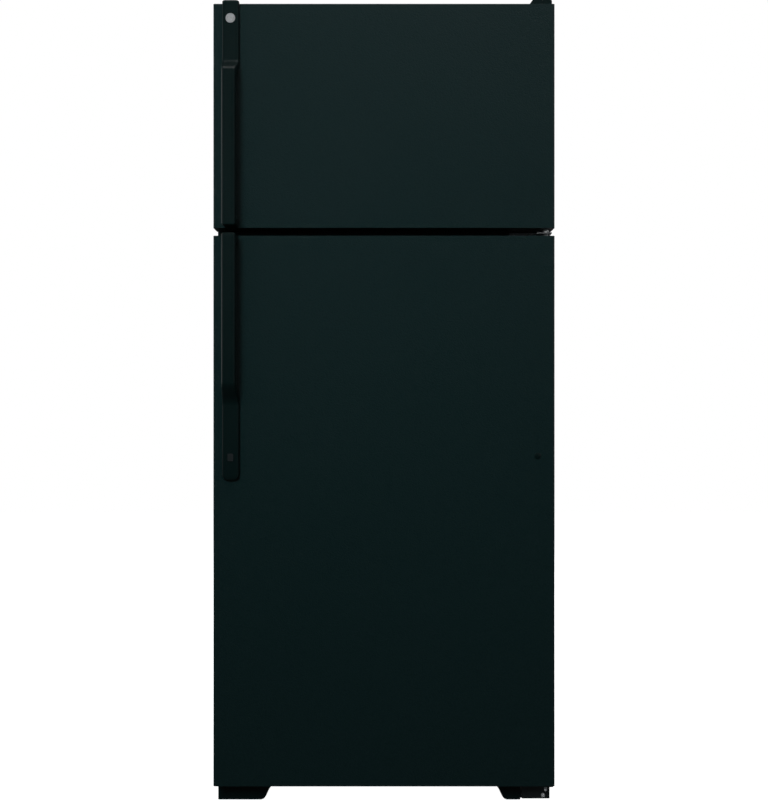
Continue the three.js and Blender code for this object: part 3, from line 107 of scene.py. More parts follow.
def make_world():
    """White to the camera, and dim to everything that the object reflects."""
    world = bpy.data.worlds.new("studio")
    world.use_nodes = True
    scene.world = world
    tree = world.node_tree
    tree.nodes.clear()
    output = tree.nodes.new("ShaderNodeOutputWorld")
    mix = tree.nodes.new("ShaderNodeMixShader")
    rays = tree.nodes.new("ShaderNodeLightPath")
    tree.links.new(rays.outputs["Is Camera Ray"], mix.inputs[0])
    tree.links.new(background(tree, ROOM_TINT, ROOM_STRENGTH), mix.inputs[1])
    tree.links.new(background(tree, WHITE, 1.0), mix.inputs[2])
    tree.links.new(mix.outputs[0], output.inputs["Surface"])


def make_floor():
    """A floor that glows, so that it stays white, except in a painted shadow under the machine,
    where the glow is masked off.
    """
    half = FLOOR_HALF
    mesh = bpy.data.meshes.new("floor")
    corners = [(-half, -half, 0), (half, -half, 0), (half, half, 0), (-half, half, 0)]
    mesh.from_pydata(corners, [], [(0, 1, 2, 3)])
    floor = bpy.data.objects.new("floor", mesh)
    floor.location.z = -FLOOR_DROP
    scene.collection.objects.link(floor)
    material, tree, shader = new_material("floor_paper")
    shader.inputs["Base Color"].default_value = FLOOR_GREY
    shader.inputs["Roughness"].default_value = FLOOR_ROUGHNESS
    shader.inputs["Specular IOR Level"].default_value = 0.0
    shader.inputs["Emission Color"].default_value = WHITE
    # The glow is masked off in a box under the machine: a painted shadow.
    tree.links.new(painted_shadow_patch(tree), shader.inputs["Emission Strength"])
    floor.data.materials.append(material)
    floor.visible_diffuse = False
    floor.visible_glossy = False


def painted_shadow_patch(tree):
    """One in the open, and near zero in a box under the machine: a painted shadow, where the glow
    is masked off.
    """
    low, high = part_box("outer_case")
    front, back = low.y + SHADE_BEHIND_FRONT, high.y - SHADE_INSET
    middle = ((low.x + high.x) / 2, (front + back) / 2)
    half = ((high.x - low.x) / 2 - SHADE_INSET, (back - front) / 2)
    place = tree.nodes.new("ShaderNodeTexCoord")
    split = tree.nodes.new("ShaderNodeSeparateXYZ")
    tree.links.new(place.outputs["Object"], split.inputs[0])
    distances = []
    for axis in range(2):
        offset = calculate(tree, "SUBTRACT", split.outputs[axis], middle[axis])
        size = calculate(tree, "ABSOLUTE", offset)
        distances.append(calculate(tree, "SUBTRACT", size, half[axis]))
    furthest = calculate(tree, "MAXIMUM", *distances)
    return spread_range(tree, furthest, SHADE_GLOW, 1.0, *SHADE_EDGE)


def make_lights():
    area_light(
        "front",
        place=(-0.95, -3.9, 2.3),
        target=(0.0, -0.35, 1.35),
        size=(1.0, 1.2),
        power=28,
        spread=80,
        mirrored=False,
    )
    area_light(
        "key", place=(0.55, -1.6, 3.6), target=(0.1, -0.35, 1.1), size=(1.4, 0.8), power=13
    )
    for name, side, power in (("right_fill", 1, 1.4), ("left_fill", -1, 0.5)):
        area_light(
            name,
            place=(side * 2.5, -2.3, 1.9),
            target=(side * 0.05, -0.35, 1.15),
            size=(1.0, 1.6),
            power=power,
            spread=84,
        )
    area_light("top", place=(0, 0.3, 3.6), target=(0, 0.1, 1.6), size=(2.0, 2.0), power=26)
    for name, side in (("right_side", 1), ("left_side", -1)):
        area_light(
            name,
            place=(side * 3.0, 1.2, 1.7),
            target=(side * 0.35, 0.1, 0.9),
            size=(2.2, 2.2),
            power=24,
        )
    area_light("back", place=(0.8, 3.2, 2.0), target=(0, 0.4, 0.8), size=(2.4, 2.0), power=60)


# ---------------------------------------------------------------------------------------------
# Materials
# ---------------------------------------------------------------------------------------------


def new_material(name):
    material = bpy.data.materials.new(name)
    material.use_nodes = True
    tree = material.node_tree
    return material, tree, tree.nodes["Principled BSDF"]


def calculate(tree, operation, *terms):
    """A Math node. Each term is a number or the output of another node."""
    node = tree.nodes.new("ShaderNodeMath")
    node.operation = operation
    for slot, term in zip(node.inputs, terms):
        if isinstance(term, (int, float)):
            slot.default_value = term
        else:
            tree.links.new(term, slot)
    return node.outputs[0]

def texture(tree, kind, scale, detail=2.0, stretch=(1, 1, 1)):
    """A noise or voronoi texture in the object's own coordinates, in features per metre."""
    place = tree.nodes.new("ShaderNodeTexCoord")
    mapping = tree.nodes.new("ShaderNodeMapping")
    mapping.inputs["Scale"].default_value = stretch
    node = tree.nodes.new("ShaderNodeTexNoise" if kind == "noise" else "ShaderNodeTexVoronoi")
    node.inputs["Scale"].default_value = scale
    if kind == "noise":
        node.inputs["Detail"].default_value = detail
    tree.links.new(place.outputs["Object"], mapping.inputs["Vector"])
    tree.links.new(mapping.outputs[0], node.inputs["Vector"])
    return node.outputs["Fac"] if kind == "noise" else node.outputs["Distance"]


def spread_range(tree, value, low, high, start=0.3, end=0.7):
    """Maps start..end, by default the middle of a noise texture's range, to low..high."""
    node = tree.nodes.new("ShaderNodeMapRange")
    node.inputs["From Min"].default_value = start
    node.inputs["From Max"].default_value = end
    node.inputs["To Min"].default_value = low
    node.inputs["To Max"].default_value = high
    tree.links.new(value, node.inputs["Value"])
    return node.outputs["Result"]


def mixed_colour(tree, value, dark, light):
    node = tree.nodes.new("ShaderNodeMix")
    node.data_type = "RGBA"
    node.inputs["A"].default_value = (*dark, 1)
    node.inputs["B"].default_value = (*light, 1)
    tree.links.new(value, node.inputs["Factor"])
    return node.outputs["Result"]


def add_bump(tree, shader, height, distance, strength):
    bump = tree.nodes.new("ShaderNodeBump")
    bump.inputs["Distance"].default_value = distance
    bump.inputs["Strength"].default_value = strength
    tree.links.new(height, bump.inputs["Height"])
    tree.links.new(bump.outputs["Normal"], shader.inputs["Normal"])


def surface(
    name,
    dark,
    light,
    roughness,
    grain,
    depth,
    metallic=0.0,
    specular=0.5,
    kind="noise",
    stretch=(1, 1, 1),
):
    """A finish with broad patches of colour and roughness, and a fine grain in relief. grain is
    the grain's size and depth its depth."""
    material, tree, shader = new_material(name)
    broad = texture(tree, "noise", scale=9.0, detail=4.0)
    fine = texture(tree, kind, scale=1 / grain, detail=3.0, stretch=stretch)
    both = calculate(tree, "MULTIPLY_ADD", fine, 0.5, calculate(tree, "MULTIPLY", broad, 0.5))
    colour = mixed_colour(tree, spread_range(tree, both, 0, 1), dark, light)
    tree.links.new(colour, shader.inputs["Base Color"])
    tree.links.new(spread_range(tree, broad, *roughness), shader.inputs["Roughness"])
    add_bump(tree, shader, fine, depth, strength=0.6)
    shader.inputs["Metallic"].default_value = metallic
    shader.inputs["Specular IOR Level"].default_value = specular
    return material


def pebbled_paint(name, dark, light, roughness):
    """Black paint on steel with a leather grain: rounded pebbles and the valleys between, with
    painted shade that makes the colour darker in the valleys.
    """
    material, tree, shader = new_material(name)
    pebbles = texture(tree, "voronoi", scale=430)
    lumps = texture(tree, "noise", scale=240, detail=3.0)
    broad = texture(tree, "noise", scale=2.2, detail=3.0)
    # Lighter on the pebbles' tops and darker in the valleys between: painted shade in the hollows
    # of the grain.
    tone = spread_range(tree, pebbles, 1, 0, start=0.05, end=0.75)
    tree.links.new(mixed_colour(tree, tone, dark, light), shader.inputs["Base Color"])
    tree.links.new(spread_range(tree, broad, *roughness), shader.inputs["Roughness"])
    valleys = calculate(tree, "MULTIPLY", pebbles, -0.7)
    add_bump(tree, shader, calculate(tree, "ADD", valleys, lumps), distance=0.0006, strength=0.8)
    shader.inputs["Specular IOR Level"].default_value = 0.35
    return material


def clear_material(name, tint, roughness, transmission, ior=1.49):
    """Clear plastic or glass, with light wear in patches and a slow ripple."""
    material, tree, shader = new_material(name)
    wear = texture(tree, "noise", scale=14, detail=4.0)
    tree.links.new(spread_range(tree, wear, *roughness), shader.inputs["Roughness"])
    worn = tuple(0.96 * channel for channel in tint)
    haze = mixed_colour(tree, spread_range(tree, wear, 0, 1), tint, worn)
    tree.links.new(haze, shader.inputs["Base Color"])
    shader.inputs["Transmission Weight"].default_value = transmission
    shader.inputs["IOR"].default_value = ior
    add_bump(tree, shader, texture(tree, "noise", scale=60), distance=0.0002, strength=0.25)
    return material


def badge_material():
    """Satin metal with a very fine grain."""
    material, tree, shader = new_material("badge_metal")
    grain = texture(tree, "noise", scale=900)
    tone = spread_range(tree, grain, 0, 1)
    colour = mixed_colour(tree, tone, dark=(0.30, 0.31, 0.32), light=(0.48, 0.49, 0.50))
    tree.links.new(colour, shader.inputs["Base Color"])
    tree.links.new(spread_range(tree, grain, 0.35, 0.5), shader.inputs["Roughness"])
    shader.inputs["Metallic"].default_value = 0.55
    add_bump(tree, shader, grain, distance=0.0001, strength=0.4)
    return material


# The grained finishes: darkest and lightest colour, range of roughness, size and depth of grain.
FINISHES = {
    "black_plastic": dict(
        dark=(0.0008, 0.0045, 0.0045),
        light=(0.0017, 0.0065, 0.0065),
        roughness=(0.36, 0.46),
        grain=0.0009,
        depth=0.00008,
        specular=0.2,
    ),
    "flat_paint": dict(
        dark=(0.006, 0.008, 0.009),
        light=(0.012, 0.015, 0.016),
        roughness=(0.40, 0.55),
        grain=0.0016,
        depth=0.0001,
    ),
    "grey_plastic": dict(
        dark=(0.030, 0.036, 0.038),
        light=(0.045, 0.052, 0.054),
        roughness=(0.45, 0.6),
        grain=0.0008,
        depth=0.00008,
    ),
    "zinc": dict(
        dark=(0.30, 0.31, 0.32),
        light=(0.36, 0.37, 0.38),
        roughness=(0.44, 0.48),
        grain=0.006,
        depth=0.00003,
        metallic=0.85,
        kind="voronoi",
    ),
    "white_plastic": dict(
        dark=(0.79, 0.80, 0.79),
        light=(0.82, 0.83, 0.82),
        roughness=(0.28, 0.34),
        grain=0.0035,
        depth=0.00012,
    ),
    "white_coating": dict(
        dark=(0.76, 0.77, 0.76),
        light=(0.84, 0.85, 0.84),
        roughness=(0.25, 0.35),
        grain=0.002,
        depth=0.0001,
    ),
    "lamp_glass": dict(
        dark=(0.82, 0.80, 0.74),
        light=(0.90, 0.88, 0.82),
        roughness=(0.25, 0.4),
        grain=0.002,
        depth=0.0001,
    ),
    "vinyl": dict(
        dark=(0.008, 0.0095, 0.0105),
        light=(0.014, 0.016, 0.017),
        roughness=(0.5, 0.65),
        grain=0.0012,
        depth=0.0001,
    ),
    "foam": dict(
        dark=(0.70, 0.58, 0.33),
        light=(0.80, 0.70, 0.45),
        roughness=(0.85, 0.95),
        grain=0.002,
        depth=0.0003,
    ),
    "aluminium": dict(
        dark=(0.60, 0.61, 0.62),
        light=(0.74, 0.75, 0.76),
        roughness=(0.3, 0.45),
        grain=0.002,
        depth=0.00006,
        metallic=1.0,
    ),
    "board": dict(
        dark=(0.020, 0.020, 0.019),
        light=(0.050, 0.049, 0.046),
        roughness=(0.8, 0.95),
        grain=0.0016,
        depth=0.00025,
        stretch=(1, 1, 4),
    ),
    "bright_steel": dict(
        dark=(0.62, 0.63, 0.64),
        light=(0.76, 0.77, 0.78),
        roughness=(0.26, 0.38),
        grain=0.0015,
        depth=0.00004,
        metallic=0.35,
    ),
    "brass": dict(
        dark=(0.52, 0.38, 0.16),
        light=(0.68, 0.52, 0.25),
        roughness=(0.3, 0.45),
        grain=0.0015,
        depth=0.00005,
        metallic=1.0,
    ),
}


def make_materials():
    made = {name: surface(name, **finish) for name, finish in FINISHES.items()}
    made["door_paint"] = pebbled_paint(
        "door_paint",
        dark=(0.0013, 0.0083, 0.0086),
        light=(0.0036, 0.0130, 0.0135),
        roughness=(0.42, 0.54),
    )
    made["case_paint"] = pebbled_paint(
        "case_paint",
        dark=(0.0016, 0.0086, 0.0088),
        light=(0.0039, 0.0133, 0.0138),
        roughness=(0.44, 0.58),
    )
    made["clear_plastic"] = clear_material(
        "clear_plastic", tint=(0.90, 0.95, 0.96), roughness=(0.10, 0.20), transmission=0.88
    )
    made["glass"] = clear_material(
        "glass", tint=(0.86, 0.96, 0.93), roughness=(0.02, 0.07), transmission=0.95, ior=1.5
    )
    made["badge_metal"] = badge_material()
    return made


# ---------------------------------------------------------------------------------------------
# Mesh helpers
# ---------------------------------------------------------------------------------------------

SHARP_ANGLE = 32
BEVEL_ANGLE = 34
WELD_DISTANCE = 1e-6
SLAB_ROUND_LIMIT = 0.45  # the share of a block's thinnest side that its rounding may take

ALONG_X, ALONG_Y, ALONG_Z = (1, 0, 0), (0, 1, 0), (0, 0, 1)
TO_FRONT = (0, -1, 0)


def smooth(mesh):
    for face in mesh.polygons:
        face.use_smooth = True
    mesh.set_sharp_from_angle(angle=math.radians(SHARP_ANGLE))


def add_bevel(piece, width, segments):
    bevel = piece.modifiers.new("edge", "BEVEL")
    bevel.width = width
    bevel.segments = segments
    bevel.limit_method = "ANGLE"
    bevel.angle_limit = math.radians(BEVEL_ANGLE)
    bevel.harden_normals = True


def finish_node(name, material, width, segments):
    """A CAD node that stays, with its material and softened edges."""
    node = nodes[name]
    node.data.materials.clear()
    node.data.materials.append(materials[material])
    weld = node.modifiers.new("weld", "WELD")
    weld.merge_threshold = WELD_DISTANCE
    smooth(node.data)
    if width:
        add_bevel(node, width, segments)
    flatten = node.modifiers.new("flat_faces", "WEIGHTED_NORMAL")
    flatten.keep_sharp = True
    flatten.weight = 100


def piece_from(name, bm, body, material, replaced=()):
    bmesh.ops.recalc_face_normals(bm, faces=bm.faces)
    mesh = bpy.data.meshes.new(name)
    bm.to_mesh(mesh)
    bm.free()
    smooth(mesh)
    piece = bpy.data.objects.new(name, mesh)
    mesh.materials.append(materials[material])
    scene.collection.objects.link(piece)
    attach(piece, body)
    if replaced:
        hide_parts(*replaced)


def scaled(profile, across, along):
    """A profile given in shares of a width and a height, at full size."""
    return [(across * a, along * b) for a, b in profile]


def rounded_section(half_x, half_y, radii, steps=6):
    """Points of a rounded rectangle about the origin. radii: corners at -y and at +y."""
    low, high = radii
    corners = [
        (half_x - low, -half_y + low, low, -90),
        (half_x - high, half_y - high, high, 0),
        (-half_x + high, half_y - high, high, 90),
        (-half_x + low, -half_y + low, low, 180),
    ]
    points = []
    for x, y, radius, start in corners:
        for i in range(steps + 1):
            angle = math.radians(start + 90 * i / steps)
            points.append((x + radius * math.cos(angle), y + radius * math.sin(angle)))
    return points


def loft(bm, sections):
    """Joins rings of the same number of points, and closes both ends."""
    rings = [[bm.verts.new(point) for point in ring] for ring in sections]
    count = len(rings[0])
    for a, b in zip(rings, rings[1:]):
        for i in range(count):
            j = (i + 1) % count
            bm.faces.new((a[i], a[j], b[j], b[i]))
    bm.faces.new(rings[0])
    bm.faces.new(rings[-1])


def turned_ring(bm, centre, axis, profile, sides=32):
    """A turned solid about an axis: profile is a list of (radius, distance along the axis)."""
    turn = Vector((0, 0, 1)).rotation_difference(Vector(axis)).to_matrix()
    sections = []
    for radius, along in profile:
        ring = []
        for i in range(sides):
            angle = 2 * math.pi * i / sides
            local = Vector((radius * math.cos(angle), radius * math.sin(angle), along))
            ring.append(Vector(centre) + turn @ local)
        sections.append(ring)
    loft(bm, sections)


def wire(bm, start, end, radius, sides=12):
    """A round wire with rounded ends."""
    axis = Vector(end) - Vector(start)
    length = axis.length
    tip, cap = radius * 0.55, radius * 0.5
    profile = [(tip, 0), (radius, cap), (radius, length - cap), (tip, length)]
    turned_ring(bm, start, axis.normalized(), profile, sides)


# Screw heads, in shares of the radius and of the height.
WASHER_FACE = [(1.45, 0), (1.45, 0.2), (1.2, 0.32)]
HEXAGON = [(1, 0.3), (1, 0.85), (0.86, 1)]
PAN_HEAD = [(1, 0), (1, 0.35), (0.82, 0.8), (0.45, 1), (0.2, 0.55)]


def hex_screw(bm, centre, axis, radius, height):
    """A washer-faced hexagon head."""
    turned_ring(bm, centre, axis, scaled(WASHER_FACE, radius, height), sides=24)
    turned_ring(bm, centre, axis, scaled(HEXAGON, radius, height), sides=6)


def pan_screw(bm, centre, axis, radius, height):
    """A domed head with a recess."""
    turned_ring(bm, centre, axis, scaled(PAN_HEAD, radius, height), sides=24)


def slab(bm, low, high, radius, segments=2):
    """A block with rounded edges."""
    low, high = Vector(low), Vector(high)
    made = bmesh.ops.create_cube(bm, size=1.0)
    verts = made["verts"]
    size, middle = high - low, (high + low) / 2
    for vert in verts:
        vert.co = Vector([vert.co[i] * size[i] + middle[i] for i in range(3)])
    edges = list({edge for vert in verts for edge in vert.link_edges})
    offset = min(radius, min(size) * SLAB_ROUND_LIMIT)
    bmesh.ops.bevel(
        bm, geom=edges, offset=offset, segments=segments, affect="EDGES", profile=0.5
    )


def ease(t):
    """From 0 to 1, starting and ending level."""
    t = max(0.0, min(1.0, t))
    return t * t * (3 - 2 * t)


# ---------------------------------------------------------------------------------------------
# Handles
# ---------------------------------------------------------------------------------------------

GRIP_THICKNESS = 0.014
GRIP_WIDTH = 0.0286
GRIP_START = 0.03  # where the plain grip begins, from its free end
PAD_THICKNESS = 0.013
HANDLE_GAP = 0.0003  # between the moulding and the door
FRONT_ROUND = 0.0055
BACK_ROUND = 0.0025
PAD_BACK_ROUND = 0.0004
ROUND_LIMIT = 0.98  # the share of a half width that a corner may take
LEG_FILLET = 0.012  # between the leg and the back of the grip
END_ROUND = 0.0035
PAD_END_ROUND = 0.0115
LIP_END_ROUND = 0.003
BEND_LEAD = 0.004  # fine slices begin this far before the bend, and go on past it
BEND_TAIL = 0.008
LIP_INSET = 0.0015
LIP_LENGTH = 0.0036
LIP_OVERLAP = 0.004  # of the lip with the pad
LIP_ROUND = 0.0016


def quarter_turn(steps):
    """The angles of a quarter turn, both ends included, in radians."""
    return [math.pi / 2 * i / steps for i in range(steps + 1)]


def handle_slices(length, grip_length, bend, pad_round):
    """Where a handle is sliced: the distance from its free end, and how far the slice shrinks."""
    places = [
        (END_ROUND * (1 - math.cos(angle)), END_ROUND * (1 - math.sin(angle)))
        for angle in quarter_turn(6)
    ]
    places.append((GRIP_THICKNESS - 0.0001, 0.0))
    places += [(GRIP_THICKNESS + LEG_FILLET * t / 10, 0.0) for t in range(11)]
    grip_end = grip_length - GRIP_THICKNESS - BEND_LEAD
    places += [(GRIP_START + (grip_end - GRIP_START) * t / 12, 0.0) for t in range(13)]
    span = bend + GRIP_THICKNESS + BEND_TAIL
    places += [(grip_end + span * t / 40, 0.0) for t in range(1, 41)]
    for angle in quarter_turn(9):
        along = length - pad_round + pad_round * math.sin(angle)
        places.append((along, pad_round * (1 - math.cos(angle)) * ROUND_LIMIT))
    return places


def handle(name, node, body, door, grip_length, bend, free_at_bottom, lip):
    """A moulded handle, made of level slices: a grip that stands off the door, a leg at the free
    end, and an S bend into the pad. The slices follow the size of the CAD handle. A lip is a
    block at the end of the pad that laps over the top of the door."""
    low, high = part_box(node)
    door_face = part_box(door)[0].y
    middle = (low.x + high.x) / 2
    pad_width = high.x - low.x
    stand_off = door_face - low.y

    def slice_at(along, inset):
        bent = ease((along - grip_length) / bend)
        front = stand_off + (PAD_THICKNESS - stand_off) * bent
        width = GRIP_WIDTH + (pad_width - GRIP_WIDTH) * bent
        inner = ease((along - grip_length + GRIP_THICKNESS) / bend)
        back = (stand_off - GRIP_THICKNESS) * (1 - inner) + HANDLE_GAP * inner
        if along < GRIP_THICKNESS:
            back = HANDLE_GAP
        elif along < GRIP_THICKNESS + LEG_FILLET:
            t = (along - GRIP_THICKNESS) / LEG_FILLET
            back = HANDLE_GAP + (back - HANDLE_GAP) * math.sqrt(max(0.0, 1 - (1 - t) ** 2))
        half_x = width / 2 - inset
        half_y = (front - back) / 2 - inset / 2
        centre_y = door_face - (front + back) / 2
        front_radius = min(FRONT_ROUND, half_y * ROUND_LIMIT, half_x * ROUND_LIMIT)
        back_radius = PAD_BACK_ROUND
        if back > 2 * HANDLE_GAP:
            back_radius = min(BACK_ROUND, half_y * ROUND_LIMIT)
        z = low.z + along if free_at_bottom else high.z - along
        section = rounded_section(half_x, half_y, (front_radius, back_radius), steps=7)
        return [(middle + x, centre_y + y, z) for x, y in section]

    pad_round = LIP_END_ROUND if lip else PAD_END_ROUND
    places = handle_slices(high.z - low.z, grip_length, bend, pad_round)
    bm = bmesh.new()
    loft(bm, [slice_at(along, inset) for along, inset in places])
    if lip:
        slab(
            bm,
            (low.x + LIP_INSET, door_face - LIP_OVERLAP, high.z - LIP_LENGTH),
            (high.x - LIP_INSET, high.y, high.z - 0.0001),
            LIP_ROUND,
            segments=3,
        )
    piece_from(name, bm, body, "black_plastic", [node])


def make_handles():
    handle(
        "freezer_handle_moulding",
        "freezer_handle",
        "freezer_door",
        "freezer_door_skin",
        grip_length=0.3164,
        bend=0.031,
        free_at_bottom=True,
        lip=True,
    )
    handle(
        "fresh_handle_moulding",
        "fresh_handle",
        "fresh_food_door",
        "fresh_door_skin",
        grip_length=0.306,
        bend=0.047,
        free_at_bottom=False,
        lip=False,
    )
    make_badge()


BADGE_SHARE = 0.93  # of the radius of the CAD badge

# From the rim to the middle, in shares of the radius and of the height.
BADGE_PROFILE = [
    (1, 0),
    (1, 0.6),
    (0.96, 0.92),
    (0.90, 1),
    (0.85, 0.92),
    (0.82, 0.62),
    (0.60, 0.60),
    (0.56, 0.80),
    (0.50, 0.80),
    (0.46, 0.60),
    (0.10, 0.66),
]


def make_badge():
    """A plain round badge: a rim and a dished face with one raised ring."""
    low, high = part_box("handle_badge")
    centre = ((low.x + high.x) / 2, high.y, (low.z + high.z) / 2)
    radius, height = (high.x - low.x) / 2 * BADGE_SHARE, high.y - low.y
    bm = bmesh.new()
    turned_ring(bm, centre, TO_FRONT, scaled(BADGE_PROFILE, radius, height), sides=48)
    piece_from("badge_disc", bm, "freezer_door", "badge_metal", ["handle_badge"])


# ---------------------------------------------------------------------------------------------
# Doors
# ---------------------------------------------------------------------------------------------


def framed_ring(bm, low, high, profile, corner, inner_corner, steps=5):
    """Sweeps a closed profile round a rectangle in the XZ plane with rounded corners. The
    profile is a list of (distance inwards from the rectangle, distance behind low.y)."""
    middle_x, middle_z = (low.x + high.x) / 2, (low.z + high.z) / 2
    rings = []
    for inward, back in profile:
        radius = max(corner - inward, inner_corner)
        half_x = (high.x - low.x) / 2 - inward
        half_z = (high.z - low.z) / 2 - inward
        section = rounded_section(half_x, half_z, (radius, radius), steps)
        rings.append([bm.verts.new((middle_x + a, low.y + back, middle_z + b)) for a, b in section])
    bridge_round(bm, rings)


def bridge_round(bm, rings):
    """Joins each ring of vertices to the next, and the last to the first."""
    count = len(rings[0])
    for a, b in zip(rings, rings[1:] + rings[:1]):
        for i in range(count):
            j = (i + 1) % count
            bm.faces.new((a[i], a[j], b[j], b[i]))


LINER = 0.0025  # thickness of the moulded liners
RETAINER_AND_SHADE_STRIP = 0.014  # width of the dark strip that the seal is held in, which also paints shade on the panel's edge in the gap behind the seal
SEAL_WIDTH = 0.018

# The bellows of a door seal, in shares of its width and of its depth.
SEAL_PROFILE = [
    (0.0, 0.0),
    (0.55, 0.0),
    (0.55, 0.22),
    (0.92, 0.30),
    (0.80, 0.42),
    (0.96, 0.56),
    (0.98, 0.92),
    (0.90, 1.0),
    (0.08, 1.0),
    (0.0, 0.90),
    (0.04, 0.56),
    (0.22, 0.44),
    (0.0, 0.32),
]


def gasket(name, node, body, liner):
    """A magnetic door seal: a soft bellows with a flat face, swept round the door, and the dark
    strip at the edge of the inner panel that holds it. The strip is also painted shade: it darkens
    the panel's edge where it shows in the gap between door and case."""
    low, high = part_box(node)
    bellows = scaled(SEAL_PROFILE, SEAL_WIDTH, high.y - low.y)
    strip = RETAINER_AND_SHADE_STRIP - 0.0003  # just short of the white panel
    # The dark strip stands for the retainer and is painted shade on the panel's edge.
    retainer_and_shade = [(0.0, 0.0), (strip, 0.0), (strip, LINER), (0.0, LINER)]
    bm = bmesh.new()
    framed_ring(bm, low, high, bellows, corner=0.008, inner_corner=0.004)
    framed_ring(bm, *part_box(liner), retainer_and_shade, corner=0.004, inner_corner=0.001)
    piece_from(name, bm, body, "vinyl", [node])


FRAME_DEPTH = 0.045  # of the raised frame on the inner side of a door
FRAME_WIDTH = 0.050
FRAME_ROUND = 0.009
FRAME_DRAFT = 0.0015  # how far each side of the frame leans in
FRAME_PAST_BIN = 0.001  # clearance between the frame's inner side and the bins
FRAME_BELOW_BIN = 0.006
FRAME_BELOW_ROOF = 0.014
PANEL_ROUND = 0.0008


def inner_panel(door, body, liner, lowest_bin):
    """The moulded inner side of a door: a flat panel and a rounded frame raised from it."""
    node = door + "_liner"
    low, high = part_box(node)
    bin_low, bin_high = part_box(lowest_bin)
    panel_back = low.y + LINER
    side = FRAME_WIDTH + FRAME_PAST_BIN
    bottom = bin_low.z - FRAME_WIDTH - FRAME_BELOW_BIN
    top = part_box(liner)[1].z - LINER - FRAME_BELOW_ROOF
    frame_low = Vector((bin_low.x - side, panel_back, bottom))
    frame_high = Vector((bin_high.x + side, 0, top))
    profile = [(0.0, -LINER / 2)]
    for i in range(6):
        angle = math.radians(90 * i / 5)
        inward = FRAME_DRAFT + FRAME_ROUND * (1 - math.cos(angle))
        profile.append((inward, FRAME_DEPTH - FRAME_ROUND * (1 - math.sin(angle))))
    for i in range(6):
        angle = math.radians(90 - 90 * i / 5)
        inward = FRAME_WIDTH - FRAME_DRAFT - FRAME_ROUND * (1 - math.cos(angle))
        profile.append((inward, FRAME_DEPTH - FRAME_ROUND * (1 - math.sin(angle))))
    profile.append((FRAME_WIDTH, -LINER / 2))
    bm = bmesh.new()
    framed_ring(bm, frame_low, frame_high, profile, corner=0.024, inner_corner=0.010, steps=6)
    # The white panel stops short of the dark strip, which is painted shade at its edge.
    inset = Vector((RETAINER_AND_SHADE_STRIP, 0, RETAINER_AND_SHADE_STRIP))
    slab(bm, low + inset, Vector((high.x, panel_back, high.z)) - inset, PANEL_ROUND)
    if door == "fresh_door":
        dairy_shelves(bm, panel_back, bin_high.x)
    piece_from(door + "_inner_panel", bm, body, "white_plastic", [node])


DAIRY_WALL = 0.003
DAIRY_BELOW = 0.008  # of the floor, below the cover
DAIRY_ABOVE = 0.004  # of the roof, above the cover


def dairy_shelves(bm, front, half):
    """The floor, the roof and the two ears of the dairy compartment."""
    cover_low, cover_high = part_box("dairy_cover")
    floor, roof = cover_low.z - DAIRY_BELOW, cover_high.z + DAIRY_ABOVE
    reach = half + 0.002
    start = front - 0.001
    for z, short in ((floor, 0.008), (roof, 0.012)):
        back = cover_high.y - short
        slab(bm, (-reach, start, z), (reach, back, z + DAIRY_WALL), 0.0012, segments=3)
    for side in (-1, 1):
        inner, outer = sorted((side * (half - 0.001), side * reach))
        slab(bm, (inner, start, floor), (outer, cover_high.y, roof + DAIRY_WALL), 0.0010)


RAIL_INSET = 0.02
RAIL_HEIGHT = 0.004
RAIL_DEPTH = 0.005


def bin_fronts(name, body, bins):
    """A rolled upper rail along the front of each door bin."""
    bm = bmesh.new()
    for node in bins:
        low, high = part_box(node)
        slab(
            bm,
            (low.x + RAIL_INSET, high.y - RAIL_DEPTH, high.z - RAIL_HEIGHT),
            (high.x - RAIL_INSET, high.y - 0.0001, high.z - 0.0002),
            0.0012,
            segments=3,
        )
    piece_from(name, bm, body, "white_plastic")


def make_doors():
    gasket("freezer_door_seal", "freezer_door_gasket", "freezer_door", "freezer_door_liner")
    gasket("fresh_door_seal", "fresh_door_gasket", "fresh_food_door", "fresh_door_liner")
    inner_panel("freezer_door", "freezer_door", "freezer_liner", "freezer_bin_lower")
    inner_panel("fresh_door", "fresh_food_door", "fresh_food_liner", "door_bin_lower")
    bin_fronts("freezer_bin_rails", "freezer_door", ["freezer_bin_lower", "freezer_bin_upper"])
    bins = ["door_bin_lower", "door_bin_middle", "door_bin_upper"]
    bin_fronts("fresh_bin_rails", "fresh_food_door", bins)


# ---------------------------------------------------------------------------------------------
# Cabinet, hinges and base
# ---------------------------------------------------------------------------------------------


def make_cabinet():
    back_sheet()
    liner_tub("freezer_tub", "freezer_liner", ["freezer_shelf"])
    shelves = ["shelf_upper", "shelf_lower", "crisper_cover"]
    liner_tub("fresh_food_tub", "fresh_food_liner", shelves)


TUB_ROUND = 0.012
TUB_WALL = 0.002
FRONT_EDGE = 1e-5  # how near the front of a tub counts as at the front
STEP_BEHIND_CRISPER = 0.006
LEDGE_HEIGHT = 0.006
LEDGE_DEPTH = 0.006
LEDGE_GAP = 0.0003  # under the shelf


